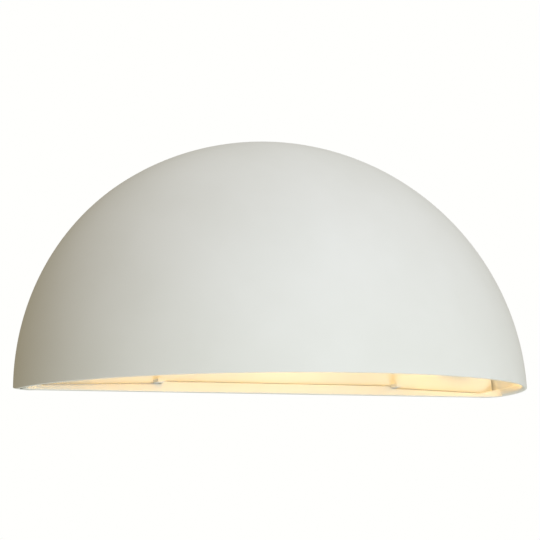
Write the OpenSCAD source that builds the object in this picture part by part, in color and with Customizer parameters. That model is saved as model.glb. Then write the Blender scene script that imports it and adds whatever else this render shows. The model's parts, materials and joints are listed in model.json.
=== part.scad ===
// Half-dome wall light: a half-ellipsoid shade, open at the bottom, that throws its light down the wall.
// The shade hangs on a flat wall plate, which carries one screw-cap lamp lying along the wall.
// X runs along the wall, Y points into the wall, Z is up. The wall's face is y = 0.
// The origin lies on it, midway between the two wall fixings.
// Heights named "above the rim" are counted from the shade's lowest edge.

/* [Shade] */
// Width of the shade along the wall
shade_w = 260; // [250:2:300]
// Height of the shade from its rim to its top
shade_h = 121.5; // [118:0.5:140]
// Distance that the shade stands out from the wall
shade_d = 94; // [90:1:110]
// Wall thickness of the shade
shade_wall = 2; // [1.6:0.1:2.6]
// Gap between the back edge of the shade and the wall
back_gap = 0.5; // [0.3:0.1:1]

/* [Rim] */
// Height of the band round the rim
band_h = 3.6; // [3:0.1:4.2]
// Thickness of the band round the front, shade wall included
band_t = 2.6; // [2.6:0.1:4]
// Depth of the back rail, from the back edge
rail_t = 4; // [3:0.1:5]
// How far the middle of the back rail rises above the band
rail_rise = 1; // [0.5:0.1:1.5]
// Length of the raised middle of the back rail
rail_rise_w = 124; // [100:2:140]
// Height of the back rail at its two ends
rail_end_h = 1.6; // [0.8:0.1:2.4]

/* [Wall plate] */
// Thickness of the plate
plate_t = 1.5; // [1:0.1:2]
// Gap between the plate's edge and the inside of the shade
plate_gap = 1.2; // [1.2:0.1:4]
// Thickness of the sealing foam behind the plate
gasket_t = 2; // [1:0.5:3]
// Width of the sealing foam
gasket_w = 8; // [6:1:9]
// Depth of the stiffening flange, from the plate's back
flange_depth = 7; // [5:0.5:9]
// Height above the rim where the flange starts
flange_from = 36; // [34:1:44]

/* [Wall fixings] */
// Height of the two wall fixings below the shade's top
fix_drop = 41.5; // [38:0.5:42.5]
// Distance between the two wall fixings
fix_spacing = 120; // [112:1:124]
// Width of each fixing slot
fix_slot_w = 5.2; // [4.5:0.1:5.6]
// Length of each fixing slot
fix_slot_l = 12; // [9:0.5:14]

/* [Cable entry] */
// Distance of the cable entry to the left of the middle
entry_x = 20; // [18:1:26]
// Height of the cable entry below the shade's top
entry_drop = 29.5; // [28.5:0.5:32.5]
// Bore of the rubber grommet
entry_bore = 9; // [7:0.5:11]
// Diameter of the hole that holds the grommet
entry_hole = 18; // [16:0.5:20]

/* [Lamp] */
// Height of the lamp's axis above the rim
lamp_h = 42; // [40:1:44]
// Distance of the lamp's axis from the wall
lamp_out = 40; // [38:1:42]
// Distance of the contact at the lamp's base from the side of the shade
contact_in = 67; // [66:1:72]
// Length of the lamp
lamp_l = 105; // [98:1:110]
// Diameter of the bulb
bulb_d = 60; // [50:1:62]
// Diameter of the bulb's neck
neck_d = 24.8; // [22:0.2:25]
// Radius of the blend between neck and bulb
blend_r = 32; // [24:1:40]
// Thickness of the glass
glass_t = 1; // [0.8:0.1:1.4]

/* [Screw cap] */
// Rise of the cap's thread in one turn
cap_pitch = 3.62; // [3.4:0.02:3.8]
// Diameter at the bottom of the cap's thread
cap_root_d = 24.4; // [24:0.1:24.6]
// Depth of the cap's thread
cap_depth = 0.9; // [0.7:0.05:1]
// Radial clearance between the cap and the holder's screw shell
cap_gap = 0.4; // [0.3:0.05:0.5]

/* [Lampholder] */
// Outer diameter of the holder's skirt
skirt_d = 39; // [36:1:42]
// Length of the skirt's mouth in front of the lamp's contact
skirt_reach = 23; // [21:0.5:24]
// Thickness of the bracket's steel
bracket_t = 1.5; // [1:0.1:2]
// Width of the bracket
bracket_w = 26; // [22:1:30]

/* [Shade screws] */
// Distance of each screw from the side of the shade
ear_in = 26; // [24:1:30]
// Distance of each screw from the wall
ear_out = 16; // [15:1:18]
// Height of the tabs that the shade is clamped to, above the rim
tab_h = 19; // [18:0.5:22]
// Thread diameter
screw_d = 5; // [4:0.5:5]
// Rise of the nut in one turn
screw_pitch = 0.8; // [0.7:0.1:1]
// Diameter of the knurled head
knob_d = 12; // [11:0.5:14]
// Height of the knurled head
knob_h = 7.5; // [6:0.5:8]

/* [Terminal block] */
// Distance of the block's middle to the right of the middle
block_x = 36; // [34:1:38]
// Height of the block's middle below the shade's top
block_drop = 29.5; // [28.5:0.5:31]
// Distance between two poles
pole_pitch = 8; // [7.5:0.5:8.5]
// Diameter of the insulated leads
lead_d = 2.2; // [1.8:0.1:2.4]

/* [Hidden] */
$fn = 64;

white_coat = [0.93, 0.93, 0.90];
zinc = [0.78, 0.78, 0.76];
steel = [0.66, 0.67, 0.69];
brass = [0.80, 0.66, 0.36];
rubber = [0.13, 0.13, 0.14];
ceramic = [0.92, 0.91, 0.87];

fix_h = shade_h - fix_drop;
entry_h = shade_h - entry_drop;
block_h = shade_h - block_drop;
rim_z = -fix_h;
big = 2 * (shade_w + shade_h + shade_d);

// Shade: half axes of the outer surface
half_w = shade_w / 2;
contact_x = contact_in - half_w;
inner_w = half_w - shade_wall;
inner_h = shade_h - shade_wall;
rail_h = band_h + rail_rise;
rail_gap = 0.3;

// Wall plate: depths are counted from the wall
plate_back = gasket_t;
plate_face = gasket_t + plate_t;
plate_a = inner_w - plate_gap;
plate_b = inner_h - plate_gap;
tongue_low = band_h + rail_gap;
notch_w = rail_rise_w + 2 * rail_gap;
notch_top = rail_h + rail_gap;
tongue_w = 3.8;
tongue_reach = 6;

// Shade screws, upwards from the knob: washer, plate tab, shade ear, nut, retaining ring
slide_gap = 0.15;
washer_t = 1;
washer_r = screw_d;
tab_w = 18;
tab_l = ear_out + 9;
tab_leg = 14;
ear_x = half_w - ear_in;
ear_t = 3;
ear_low = tab_h + plate_t + slide_gap;
ear_top = ear_low + ear_t;
ear_inner_end = 10;
ear_half = 10;
screw_clear = 0.3;
nut_w = 1.6 * screw_d;
nut_t = 2.7;
nut_turns = 3;
nut_lift = nut_turns * screw_pitch;
nut_side_gap = 0.2;
guide_t = 2;
guide_h = nut_t + nut_lift + 1;
ring_t = 0.8;
ring_r = screw_d / 2 + 1.5;
ring_low = ear_top + nut_t + nut_lift + 0.5;
groove_r = screw_d / 2 - 0.6;
screw_tip = ring_low + ring_t + 1;
knob_top = tab_h - slide_gap - washer_t;
knurl_count = 28;
knurl_depth = 0.5;

// Lamp: distances along its axis are counted from the contact's tip
contact_r = 4.8;
contact_t = 1.2;
insulator_l = 3.8;
thread_from = contact_t + insulator_l;
thread_to = thread_from + 3 * cap_pitch;
cap_to = 25;
cap_wall = 0.6;
cap_root_r = cap_root_d / 2;
cap_sleeve_r = neck_d / 2 + 0.8;
neck_from = 20;
bulb_r = bulb_d / 2;
neck_r = neck_d / 2;
bulb_mid = lamp_l - bulb_r;
blend_reach = sqrt((bulb_r + blend_r) * (bulb_r + blend_r) - (neck_r + blend_r) * (neck_r + blend_r));
blend_from = bulb_mid - blend_reach;
filament_at = bulb_mid - 6;
filament_half = 12;
support_r = 0.4;
stem_r = 3.6;
stem_l = 27;
stem_to = neck_from + stem_l;

// Lampholder: distances along its axis are counted from the lamp's contact too
shell_from = -1;
shell_to = thread_to + 0.6;
shell_wall = 0.7;
shell_r = cap_root_r + cap_gap + cap_depth + shell_wall;
base_floor = -4;
base_back = -19;
base_r = skirt_d / 2 - 2.4;
base_mouth = 5;
skirt_from = -2;
skirt_bore = shell_r + 0.4;
nipple_r = 5;
nipple_bore = 3.6;
nipple_from = base_back - bracket_t - 6;
nipple_to = base_back + 8;
nut_from = base_back - bracket_t - 3;
rivet_r = 2;
rivet_spacing = 14;
rivet_in = 12;
thread_sides = 40;
thread_rows = 6;

// Terminal block: its back lies on the plate
block_w = 3 * pole_pitch;
block_l = 18;
block_d = 14;
block_base = 9;
block_head_r = 2.2;
block_head_t = 1.6;
tube_out = plate_face + 6;
tube_r = 2.3;
tube_bore = 1.6;
tube_l = 16;
pole_screw_r = 1.5;
pole_screw_from_mid = 5;
pole_well_r = 2.1;

// Earth terminal
earth_x = 4;
earth_h = fix_h;
earth_screw_r = 2;
earth_washer_t = 0.6;
lug_t = 0.8;

// Routes of the leads: places along the wall, away from the wall and above the rim
tail = lead_d / 2 + 0.1;
pole_low = block_h - block_l / 2;
live_run = pole_low - 12.5;
neutral_run = pole_low - 9.2;
nipple_x = contact_x + nipple_from;
live_x = block_x + pole_pitch;
earth_pole_x = block_x - pole_pitch;
live_route = [
    [contact_x + base_floor - 6, lamp_out + tail, lamp_h],
    [contact_x + base_floor - 14, lamp_out + tail, lamp_h],
    [nipple_x - 1, lamp_out + tail, lamp_h], [nipple_x - 6, lamp_out + 0.3, lamp_h + 0.8],
    [nipple_x - 9, lamp_out - 4.5, lamp_h + 3], [nipple_x - 9.5, 29, lamp_h + 7.5],
    [nipple_x - 6, 20, lamp_h + 13.5], [nipple_x + 5.5, 12, lamp_h + 20],
    [contact_x + 1, 8.5, live_run - 5], [-36, 7.5, live_run - 2.5], [-8, 7.5, live_run - 0.5],
    [block_x - 18, 7.5, live_run], [block_x - 2, 7.8, live_run + 1.5],
    [live_x - 3.5, tube_out - 1, pole_low - 6.5], [live_x - 0.3, tube_out, pole_low - 2],
    [live_x, tube_out, pole_low + 2], [live_x, tube_out, pole_low + 6]
];
neutral_route = [
    [contact_x + base_floor - 6, lamp_out - tail, lamp_h],
    [contact_x + base_floor - 14, lamp_out - tail, lamp_h],
    [nipple_x - 0.5, lamp_out - tail, lamp_h + 0.1], [nipple_x - 4, lamp_out - 2.6, lamp_h + 1.8],
    [nipple_x - 6, lamp_out - 6.8, lamp_h + 5.2], [nipple_x - 6, 28, lamp_h + 10.5],
    [nipple_x - 3, 20, lamp_h + 17], [nipple_x + 6.5, 12, lamp_h + 23.8],
    [contact_x + 1, 8.5, neutral_run - 4.8], [-36, 7.5, neutral_run - 2.6], [-8, 7.5, neutral_run - 0.8],
    [block_x - 24, 7.5, neutral_run], [block_x - 10, 7.8, neutral_run + 1.2],
    [block_x - 3, tube_out - 1, pole_low - 5], [block_x - 0.3, tube_out, pole_low - 1.5],
    [block_x, tube_out, pole_low + 2], [block_x, tube_out, pole_low + 6]
];
earth_route = [
    [earth_x + 7, plate_face + 2, earth_h - 1], [earth_x + 10, plate_face + 2, earth_h - 1],
    [earth_x + 13.5, plate_face + 2.2, earth_h - 1.4], [earth_x + 17.5, plate_face + 3.5, earth_h - 2.4],
    [earth_pole_x - 2.8, tube_out - 0.7, earth_h - 2.2], [earth_pole_x - 0.4, tube_out, earth_h + 0.3],
    [earth_pole_x, tube_out, pole_low + 1], [earth_pole_x, tube_out, pole_low + 6]
];

// ---- Placing ----

// Puts a shape at a place along the wall, away from the wall and above the rim
module place(x, out, h) {
    translate([x, -out, rim_z + h]) children();
}

// Stands a flat outline, drawn in width and height above the rim, up against the wall and thickens it
module on_wall(out, t) {
    place(0, out, 0) rotate([90, 0, 0]) linear_extrude(t) children();
}

// Lays a shape that is drawn along Z on the lamp's axis, with its zero at the lamp's contact
module on_lamp_axis() {
    place(contact_x, lamp_out, lamp_h) rotate([0, 90, 0]) children();
}

// Repeats a shape at the left and the right side
module both_sides() {
    for (side = [-1, 1]) {
        translate([side * ear_x, 0, 0]) children();
    }
}

// ---- Shared shapes ----

// The shade's ellipsoid, moved inwards by a distance
module dome(inset) {
    place(0, 0, 0) scale([half_w - inset, shade_d - inset, shade_h - inset]) sphere(r = 1, $fn = 96);
}

// The opening's half oval seen from above, moved inwards by a distance
module rim_oval(inset) {
    scale([half_w - inset, shade_d - inset]) circle(r = 1, $fn = 96);
}

// Everything that lies further from the wall than a distance
module beyond(out) {
    translate([-big / 2, -out - big, -big / 2]) cube(big);
}

// The back rail seen from the front, with its raised middle, grown by a gap
module rail_front(gap) {
    end_x = half_w - band_t / 2;
    step_x = rail_rise_w / 2 + gap;
    polygon([
        [-end_x, 0], [end_x, 0], [end_x, rail_end_h + gap], [step_x, band_h + gap], [step_x, rail_h + gap],
        [-step_x, rail_h + gap], [-step_x, band_h + gap], [-end_x, rail_end_h + gap]
    ]);
}

// A half oval on the wall, cut off below a height
module wall_oval(a, b, low) {
    intersection() {
        scale([a, b]) circle(r = 1, $fn = 96);
        translate([-big / 2, low]) square(big);
    }
}

// A round-ended slot that runs sideways
module slot(l, w) {
    square([l - w, w], center = true);
    for (side = [-1, 1]) {
        translate([side * (l - w) / 2, 0]) circle(d = w);
    }
}

// A ring or tube along Z
module tube(r, bore, from, to) {
    translate([0, 0, from]) difference() {
        cylinder(r = r, h = to - from);
        translate([0, 0, -1]) cylinder(r = bore, h = to - from + 2);
    }
}

// Share of the full thread depth at a place along the thread: it runs out over half a turn at both ends
function run_out(s, from, to) = max(0, min(1, 2 * (s - from) / cap_pitch, 2 * (to - s) / cap_pitch));

// A ring of points round the axis at a distance along it
function plain_ring(r, s) = [
    for (j = [0:thread_sides - 1]) let (turn = 360 * j / thread_sides) [r * cos(turn), r * sin(turn), s]
];

// Rings of a rounded screw surface. The ridge height at each point is the thread depth times a cosine
// of the turn. Where the thread runs out, the surface meets the ridge tops (female) or the root (male).
function thread_rings(root, from, to, female) =
    let (rows = ceil((to - from) / cap_pitch * thread_rows))
    [
        for (i = [0:rows])
            let (s = from + i * (to - from) / rows, share = run_out(s, from, to))
            [
                for (j = [0:thread_sides - 1])
                    let (turn = 360 * j / thread_sides, wave = (1 + cos(360 * s / cap_pitch - turn)) / 2)
                    let (r = root + cap_depth * (female ? 1 - share * (1 - wave) : share * wave))
                    [r * cos(turn), r * sin(turn), s]
            ]
    ];

// The same rings in the other order
function backwards(rings) = [for (i = [len(rings) - 1:-1:0]) rings[i]];

// A closed skin over rings that run along the outside and come back along the bore
module ring_skin(rings) {
    count = len(rings);
    sides = [
        for (i = [0:count - 1], j = [0:thread_sides - 1])
            let (k = (j + 1) % thread_sides, low = i * thread_sides, high = (i + 1) % count * thread_sides)
            each [[low + j, high + j, low + k], [low + k, high + j, high + k]]
    ];
    polyhedron(points = [for (ring = rings) each ring], faces = sides);
}

// A point of a smooth curve through the four points a, b, c and d, between b and c
function blend_point(a, b, c, d, t) =
    (2 * b + (c - a) * t + (2 * a - 5 * b + 4 * c - d) * t * t + (3 * b - a - 3 * c + d) * t * t * t) / 2;

// The smooth curve through all points of a route, with a number of steps between two of them
function smooth_route(route, steps) = [
    for (i = [0:len(route) - 2], k = [0:steps - 1])
        let (before = route[max(i - 1, 0)], after = route[min(i + 2, len(route) - 1)])
        blend_point(before, route[i], route[i + 1], after, k / steps),
    route[len(route) - 1]
];

function unit(v) = v / norm(v);

// Directions square to the path, each turned as little as it can be from the one before
function square_dirs(dirs, before, i = 0) =
    i == len(dirs) ? [] :
    let (next = unit(before - (before * dirs[i]) * dirs[i]))
    concat([next], square_dirs(dirs, next, i + 1));

// A round lead along a route given along the wall, away from the wall and above the rim
module lead(route) {
    sides = 8;
    path = [for (p = smooth_route(route, 4)) [p[0], -p[1], rim_z + p[2]]];
    last = len(path) - 1;
    dirs = [for (i = [0:last]) unit(path[min(i + 1, last)] - path[max(i - 1, 0)])];
    up = square_dirs(dirs, [0.1, 0.2, 1]);
    points = [
        for (i = [0:last], j = [0:sides - 1])
            let (turn = 360 * j / sides)
            path[i] + lead_d / 2 * (cos(turn) * up[i] + sin(turn) * cross(dirs[i], up[i]))
    ];
    walls = [
        for (i = [0:last - 1], j = [0:sides - 1])
            let (k = (j + 1) % sides, low = i * sides, high = low + sides)
            each [[low + j, high + j, low + k], [low + k, high + j, high + k]]
    ];
    near = [[for (j = [0:sides - 1]) j]];
    far = [[for (j = [sides - 1:-1:0]) last * sides + j]];
    polyhedron(points = points, faces = concat(near, walls, far));
}

// ---- Shade and its screws ----

// The half oval of the opening, square at the wall
module band_plan(inset, out) {
    intersection() {
        rim_oval(inset);
        translate([-big / 2, -out - big]) square(big);
    }
}

// The band round the opening. Along the wall it is the back rail, which slopes down to both corners.
module rim_band() {
    slope_end = half_w - band_t - 0.5;
    difference() {
        place(0, 0, 0) linear_extrude(band_h) difference() {
            band_plan(shade_wall / 2, back_gap);
            band_plan(band_t, back_gap + rail_t);
        }
        for (side = [0, 1]) {
            mirror([side, 0, 0]) on_wall(back_gap - 1, rail_t + 2) polygon([
                [rail_rise_w / 2, band_h], [slope_end, rail_end_h], [slope_end, band_h + 1],
                [rail_rise_w / 2, band_h + 1]
            ]);
        }
    }
}

// An ear inside the shade with its screw hole and the two walls that keep the nut from turning
module shade_ear() {
    guide_x = nut_w / 2 + nut_side_gap + guide_t / 2;
    difference() {
        union() {
            translate([-ear_inner_end, -ear_out - ear_half, rim_z + ear_low])
                cube([ear_in + ear_inner_end, 2 * ear_half, ear_t]);
            for (side = [-1, 1]) {
                translate([side * guide_x, -ear_out, rim_z + ear_top + guide_h / 2])
                    cube([guide_t, nut_w + 2, guide_h], center = true);
            }
        }
        translate([0, -ear_out, rim_z + ear_low - 1])
            cylinder(r = screw_d / 2 + screw_clear, h = ear_t + 2);
    }
}

module shade() {
    color(white_coat) {
        difference() {
            intersection() {
                dome(0);
                beyond(back_gap);
                place(-big / 2, big / 2, 0) cube(big);
            }
            dome(shade_wall);
        }
        rim_band();
        translate([-rail_rise_w / 2, -back_gap - rail_t, rim_z]) cube([rail_rise_w, rail_t, rail_h]);
        intersection() {
            dome(shade_wall / 2);
            union() {
                translate([ear_x, 0, 0]) shade_ear();
                mirror([1, 0, 0]) translate([ear_x, 0, 0]) shade_ear();
            }
        }
    }
}

module screw_washers() {
    color(steel) both_sides() place(0, ear_out, knob_top)
        tube(washer_r, screw_d / 2 + screw_clear, 0, washer_t);
}

// The knurled outline, with a point on each ridge and in each valley
module knurl() {
    polygon([
        for (i = [0:2 * knurl_count - 1])
            let (turn = 180 * i / knurl_count, r = knob_d / 2 - (i % 2 == 0 ? 0 : knurl_depth))
            [r * cos(turn), r * sin(turn)]
    ]);
}

module knob() {
    chamfer = 0.8;
    r = knob_d / 2;
    place(0, ear_out, knob_top) {
        intersection() {
            translate([0, 0, -knob_h]) linear_extrude(knob_h) knurl();
            rotate_extrude() polygon([
                [0, -knob_h], [r - chamfer, -knob_h], [r + chamfer, -knob_h + 2 * chamfer],
                [r + chamfer, -2 * chamfer], [r - chamfer, 0], [0, 0]
            ]);
        }
        cylinder(d = screw_d, h = ring_low - knob_top);
        translate([0, 0, ring_low - knob_top]) cylinder(r = groove_r, h = ring_t);
        translate([0, 0, ring_low - knob_top + ring_t])
            cylinder(d = screw_d, h = screw_tip - ring_low - ring_t);
    }
}

module left_knob() {
    color(steel) translate([-ear_x, 0, 0]) knob();
}

module right_knob() {
    color(steel) translate([ear_x, 0, 0]) knob();
}

// A snap ring with its mouth, held in the groove at the screw's tip
module retaining_ring() {
    mouth = 1.6 * groove_r;
    place(0, ear_out, ring_low) difference() {
        tube(ring_r, groove_r, 0, ring_t);
        translate([0, -mouth / 2, -1]) cube([ring_r + 1, mouth, ring_t + 2]);
    }
}

module left_retaining_ring() {
    color(steel) translate([-ear_x, 0, 0]) retaining_ring();
}

module right_retaining_ring() {
    color(steel) translate([ear_x, 0, 0]) retaining_ring();
}

module square_nut() {
    running_gap = 0.05;
    place(0, ear_out, ear_top) difference() {
        translate([-nut_w / 2, -nut_w / 2, 0]) cube([nut_w, nut_w, nut_t]);
        translate([0, 0, -1]) cylinder(r = screw_d / 2 + running_gap, h = nut_t + 2);
    }
}

module left_square_nut() {
    color(zinc) translate([-ear_x, 0, 0]) square_nut();
}

module right_square_nut() {
    color(zinc) translate([ear_x, 0, 0]) square_nut();
}

// ---- Wall plate ----

// A tab with a slot that is open to the front, and the leg that holds it on the plate
module plate_tab() {
    slot_r = screw_d / 2 + screw_clear;
    difference() {
        translate([-tab_w / 2, -tab_l, rim_z + tab_h]) cube([tab_w, tab_l - plate_back, plate_t]);
        translate([0, -ear_out, rim_z + tab_h - 1]) cylinder(r = slot_r, h = plate_t + 2);
        translate([-slot_r, -tab_l - 1, rim_z + tab_h - 1])
            cube([2 * slot_r, tab_l - ear_out + 1, plate_t + 2]);
    }
    translate([-tab_w / 2, -plate_face - plate_t, rim_z + tab_h]) cube([tab_w, plate_t, tab_leg]);
}

// The tongues at both ends of the plate's notch, which keep the rail's raised middle between them
module tongues() {
    for (x = [-notch_w / 2 - tongue_w, notch_w / 2]) {
        place(x, plate_face + tongue_reach, tongue_low) cube([tongue_w, plate_t + tongue_reach, plate_t]);
    }
}

module wall_plate() {
    color(white_coat) difference() {
        union() {
            on_wall(plate_back, plate_t) difference() {
                wall_oval(plate_a, plate_b, 0);
                rail_front(rail_gap);
            }
            on_wall(plate_back, flange_depth) difference() {
                wall_oval(plate_a, plate_b, flange_from);
                scale([plate_a - plate_t, plate_b - plate_t]) circle(r = 1, $fn = 96);
            }
            both_sides() plate_tab();
            tongues();
        }
        on_wall(0, plate_face + 1) {
            for (side = [-1, 1]) {
                translate([side * fix_spacing / 2, fix_h]) slot(fix_slot_l, fix_slot_w);
            }
            translate([-entry_x, entry_h]) circle(d = entry_hole);
            translate([earth_x, earth_h]) circle(r = earth_screw_r);
            translate([block_x - pole_pitch / 2, block_h]) circle(r = pole_screw_r);
            rivet_places() circle(r = rivet_r);
        }
    }
}

// The foam ring, cut flat on both sides by a slab
module wall_gasket() {
    gasket_in = 1;
    low = notch_top + gasket_in;
    color(rubber) intersection() {
        on_wall(-1, gasket_t + 2) difference() {
            wall_oval(plate_a - gasket_in, plate_b - gasket_in, low);
            wall_oval(plate_a - gasket_in - gasket_w, plate_b - gasket_in - gasket_w, low + gasket_w);
        }
        place(-big / 2, gasket_t, 0) cube([big, gasket_t, big]);
    }
}

module cable_grommet() {
    lip = 2.5;
    lip_t = 1.8;
    hole_r = entry_hole / 2;
    color(rubber) place(-entry_x, plate_back - lip_t, entry_h) rotate([90, 0, 0]) rotate_extrude() polygon([
        [entry_bore / 2, 0], [hole_r + lip, 0], [hole_r + lip, lip_t], [hole_r, lip_t],
        [hole_r, lip_t + plate_t], [hole_r + lip, lip_t + plate_t], [hole_r + lip - 1, 2 * lip_t + plate_t],
        [entry_bore / 2 + 1.2, 2 * lip_t + plate_t + 1.5], [entry_bore / 2, 2 * lip_t + plate_t + 1.5]
    ]);
}

// ---- Lampholder ----

// The two rivets' places on the plate, drawn in width and height above the rim
module rivet_places() {
    for (side = [-1, 1]) {
        translate([contact_x + base_back + rivet_in, lamp_h + side * rivet_spacing / 2]) children();
    }
}

module holder_bracket() {
    foot_l = 18;
    arm_x = contact_x + base_back - bracket_t;
    color(zinc) {
        difference() {
            union() {
                place(arm_x, lamp_out, lamp_h - bracket_w / 2)
                    cube([bracket_t, lamp_out - plate_face, bracket_w]);
                place(arm_x, lamp_out, lamp_h) rotate([0, 90, 0]) cylinder(d = bracket_w, h = bracket_t);
            }
            place(arm_x - 1, lamp_out, lamp_h) rotate([0, 90, 0])
                cylinder(r = nipple_r + 0.1, h = bracket_t + 2);
        }
        difference() {
            place(arm_x, plate_face + bracket_t, lamp_h - bracket_w / 2)
                cube([foot_l, bracket_t, bracket_w]);
            on_wall(0, plate_face + bracket_t + 1) rivet_places() circle(r = rivet_r);
        }
    }
}

module bracket_rivets() {
    head_r = 3.6;
    head_t = 1.2;
    color(steel) on_wall(plate_back, plate_t + bracket_t) rivet_places() circle(r = rivet_r);
    color(steel) on_wall(plate_face + bracket_t, head_t) rivet_places() circle(r = head_r);
}

module holder_nipple() {
    color(zinc) on_lamp_axis() tube(nipple_r, nipple_bore, nipple_from, nipple_to);
}

module nipple_nut() {
    flats = 14;
    color(zinc) on_lamp_axis() translate([0, 0, nut_from]) difference() {
        cylinder(d = flats / cos(30), h = base_back - bracket_t - nut_from, $fn = 6);
        translate([0, 0, -1]) cylinder(r = nipple_r, h = base_back - bracket_t - nut_from + 2);
    }
}

module holder_base() {
    shoulder = 4;
    color(ceramic) on_lamp_axis() rotate_extrude() polygon([
        [nipple_r, base_back], [base_r - shoulder, base_back], [base_r, base_back + shoulder],
        [base_r, base_mouth], [shell_r, base_mouth], [shell_r, base_floor],
        [nipple_bore, base_floor], [nipple_bore, nipple_to], [nipple_r, nipple_to]
    ]);
}

module holder_skirt() {
    lip = 1.2;
    r = skirt_d / 2;
    color(ceramic) on_lamp_axis() rotate_extrude() polygon([
        [base_r + 0.1, skirt_from], [r, skirt_from], [r, skirt_reach - lip], [r - lip, skirt_reach],
        [skirt_bore + lip, skirt_reach], [skirt_bore, skirt_reach - lip],
        [skirt_bore, base_mouth + 0.1], [base_r + 0.1, base_mouth + 0.1]
    ]);
}

module screw_shell() {
    thread_root = cap_root_r + cap_gap;
    thread_low = thread_from - 3;
    color(brass) on_lamp_axis() ring_skin(concat(
        [plain_ring(shell_r, shell_from), plain_ring(shell_r, shell_to)],
        backwards(thread_rings(thread_root, thread_low, shell_to, true)),
        [plain_ring(thread_root + cap_depth, shell_from)]
    ));
}

// A bent spring strip: a foot on the base's floor, a slope and a pad under the lamp's contact
module centre_contact() {
    strip_t = 0.5;
    strip_w = 6;
    foot = 10;
    pad = 3;
    color(brass) on_lamp_axis() rotate([90, 0, 0]) translate([0, 0, -strip_w / 2])
        linear_extrude(strip_w) polygon([
            [-foot, base_floor], [-pad - 1.5, base_floor], [-pad, -strip_t], [pad, -strip_t], [pad, 0],
            [-pad - 0.3, 0], [-pad - 1.8, base_floor + strip_t], [-foot, base_floor + strip_t]
        ]);
}

// ---- Terminals and leads ----

module poles() {
    for (i = [-1:1]) {
        translate([block_x + i * pole_pitch, 0, 0]) children();
    }
}

// The two pole screws' places in each pole
module pole_screws() {
    poles() for (side = [-1, 1]) {
        place(0, plate_face, block_h + side * pole_screw_from_mid) rotate([90, 0, 0]) children();
    }
}

module terminal_block() {
    tower_w = pole_pitch - 1.6;
    tower_in = 1;
    color(ceramic) difference() {
        union() {
            place(block_x - block_w / 2, plate_face + block_base, block_h - block_l / 2)
                cube([block_w, block_base, block_l]);
            poles() place(-tower_w / 2, plate_face + block_d, block_h - block_l / 2 + tower_in)
                cube([tower_w, block_d, block_l - 2 * tower_in]);
        }
        poles() place(0, tube_out, block_h - block_l / 2 - 1) cylinder(r = tube_r, h = block_l + 2);
        pole_screws() cylinder(r = pole_well_r, h = block_d + 1);
        place(block_x - pole_pitch / 2, plate_face, block_h) rotate([90, 0, 0]) {
            translate([0, 0, -1]) cylinder(r = pole_screw_r, h = block_d + 2);
            translate([0, 0, block_base]) cylinder(r = block_head_r + 0.2, h = block_d);
        }
    }
}

module terminal_tubes() {
    color(brass) poles() place(0, tube_out, block_h - tube_l / 2) difference() {
        cylinder(r = tube_r, h = tube_l);
        translate([0, 0, -1]) cylinder(r = tube_bore, h = tube_l + 2);
        for (side = [-1, 1]) {
            translate([0, 0, tube_l / 2 + side * pole_screw_from_mid]) rotate([90, 0, 0])
                cylinder(r = pole_screw_r, h = 2 * tube_r);
        }
    }
}

module terminal_screws() {
    head_r = 1.9;
    head_t = 1.6;
    head_in = 3.5;
    head_low = block_d - head_in;
    slot_w = 0.6;
    slot_depth = 0.8;
    grip = tube_out - plate_face + lead_d / 2;
    color(steel) pole_screws() difference() {
        union() {
            translate([0, 0, grip]) cylinder(r = pole_screw_r, h = head_low - grip);
            translate([0, 0, head_low]) cylinder(r = head_r, h = head_t);
        }
        translate([-head_r - 1, -slot_w / 2, head_low + head_t - slot_depth])
            cube([2 * head_r + 2, slot_w, slot_depth + 1]);
    }
}

module block_screw() {
    slot_w = 0.7;
    slot_depth = 0.7;
    seat = plate_t + block_base;
    color(steel) place(block_x - pole_pitch / 2, plate_back, block_h) rotate([90, 0, 0]) difference() {
        union() {
            cylinder(r = pole_screw_r, h = seat);
            translate([0, 0, seat]) cylinder(r = block_head_r, h = block_head_t);
        }
        translate([-block_head_r - 1, -slot_w / 2, seat + block_head_t - slot_depth])
            cube([2 * block_head_r + 2, slot_w, slot_depth + 1]);
    }
}

module earth_washer() {
    color(steel) place(earth_x, plate_face, earth_h) rotate([90, 0, 0])
        tube(2 * earth_screw_r, earth_screw_r + 0.1, 0, earth_washer_t);
}

module earth_lug() {
    ring = 2.1 * earth_screw_r;
    barrel_from = 5;
    barrel_l = 6;
    barrel_r = lead_d / 2 + 0.6;
    color(brass) {
        place(earth_x, plate_face + earth_washer_t, earth_h) rotate([90, 0, 0]) linear_extrude(lug_t)
            difference() {
                union() {
                    circle(r = ring);
                    translate([0, -1 - barrel_r]) square([barrel_from + 1, 2 * barrel_r]);
                }
                circle(r = earth_screw_r + 0.1);
            }
        place(earth_x + barrel_from, plate_face + 2, earth_h - 1) rotate([0, 90, 0])
            tube(barrel_r, lead_d / 2 + 0.05, 0, barrel_l);
    }
}

module earth_screw() {
    head_r = 3.6;
    head_t = 2.4;
    seat = plate_face + earth_washer_t + lug_t;
    color(steel) place(earth_x, 0, earth_h) rotate([90, 0, 0]) difference() {
        union() {
            translate([0, 0, plate_back]) cylinder(r = earth_screw_r, h = seat - plate_back);
            translate([0, 0, seat]) cylinder(r = head_r, h = head_t);
        }
        for (turn = [0, 90]) {
            rotate([0, 0, turn]) translate([-2.4, -0.45, seat + head_t - 1.2]) cube([4.8, 0.9, 2]);
        }
    }
}

module live_lead() {
    color([0.42, 0.26, 0.16]) lead(live_route);
}

module neutral_lead() {
    color([0.16, 0.32, 0.62]) lead(neutral_route);
}

module earth_lead() {
    color([0.45, 0.62, 0.20]) lead(earth_route);
}

// ---- Lamp ----

module lamp_contact() {
    color(zinc) on_lamp_axis() cylinder(r1 = contact_r - 1, r2 = contact_r, h = contact_t);
}

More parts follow.
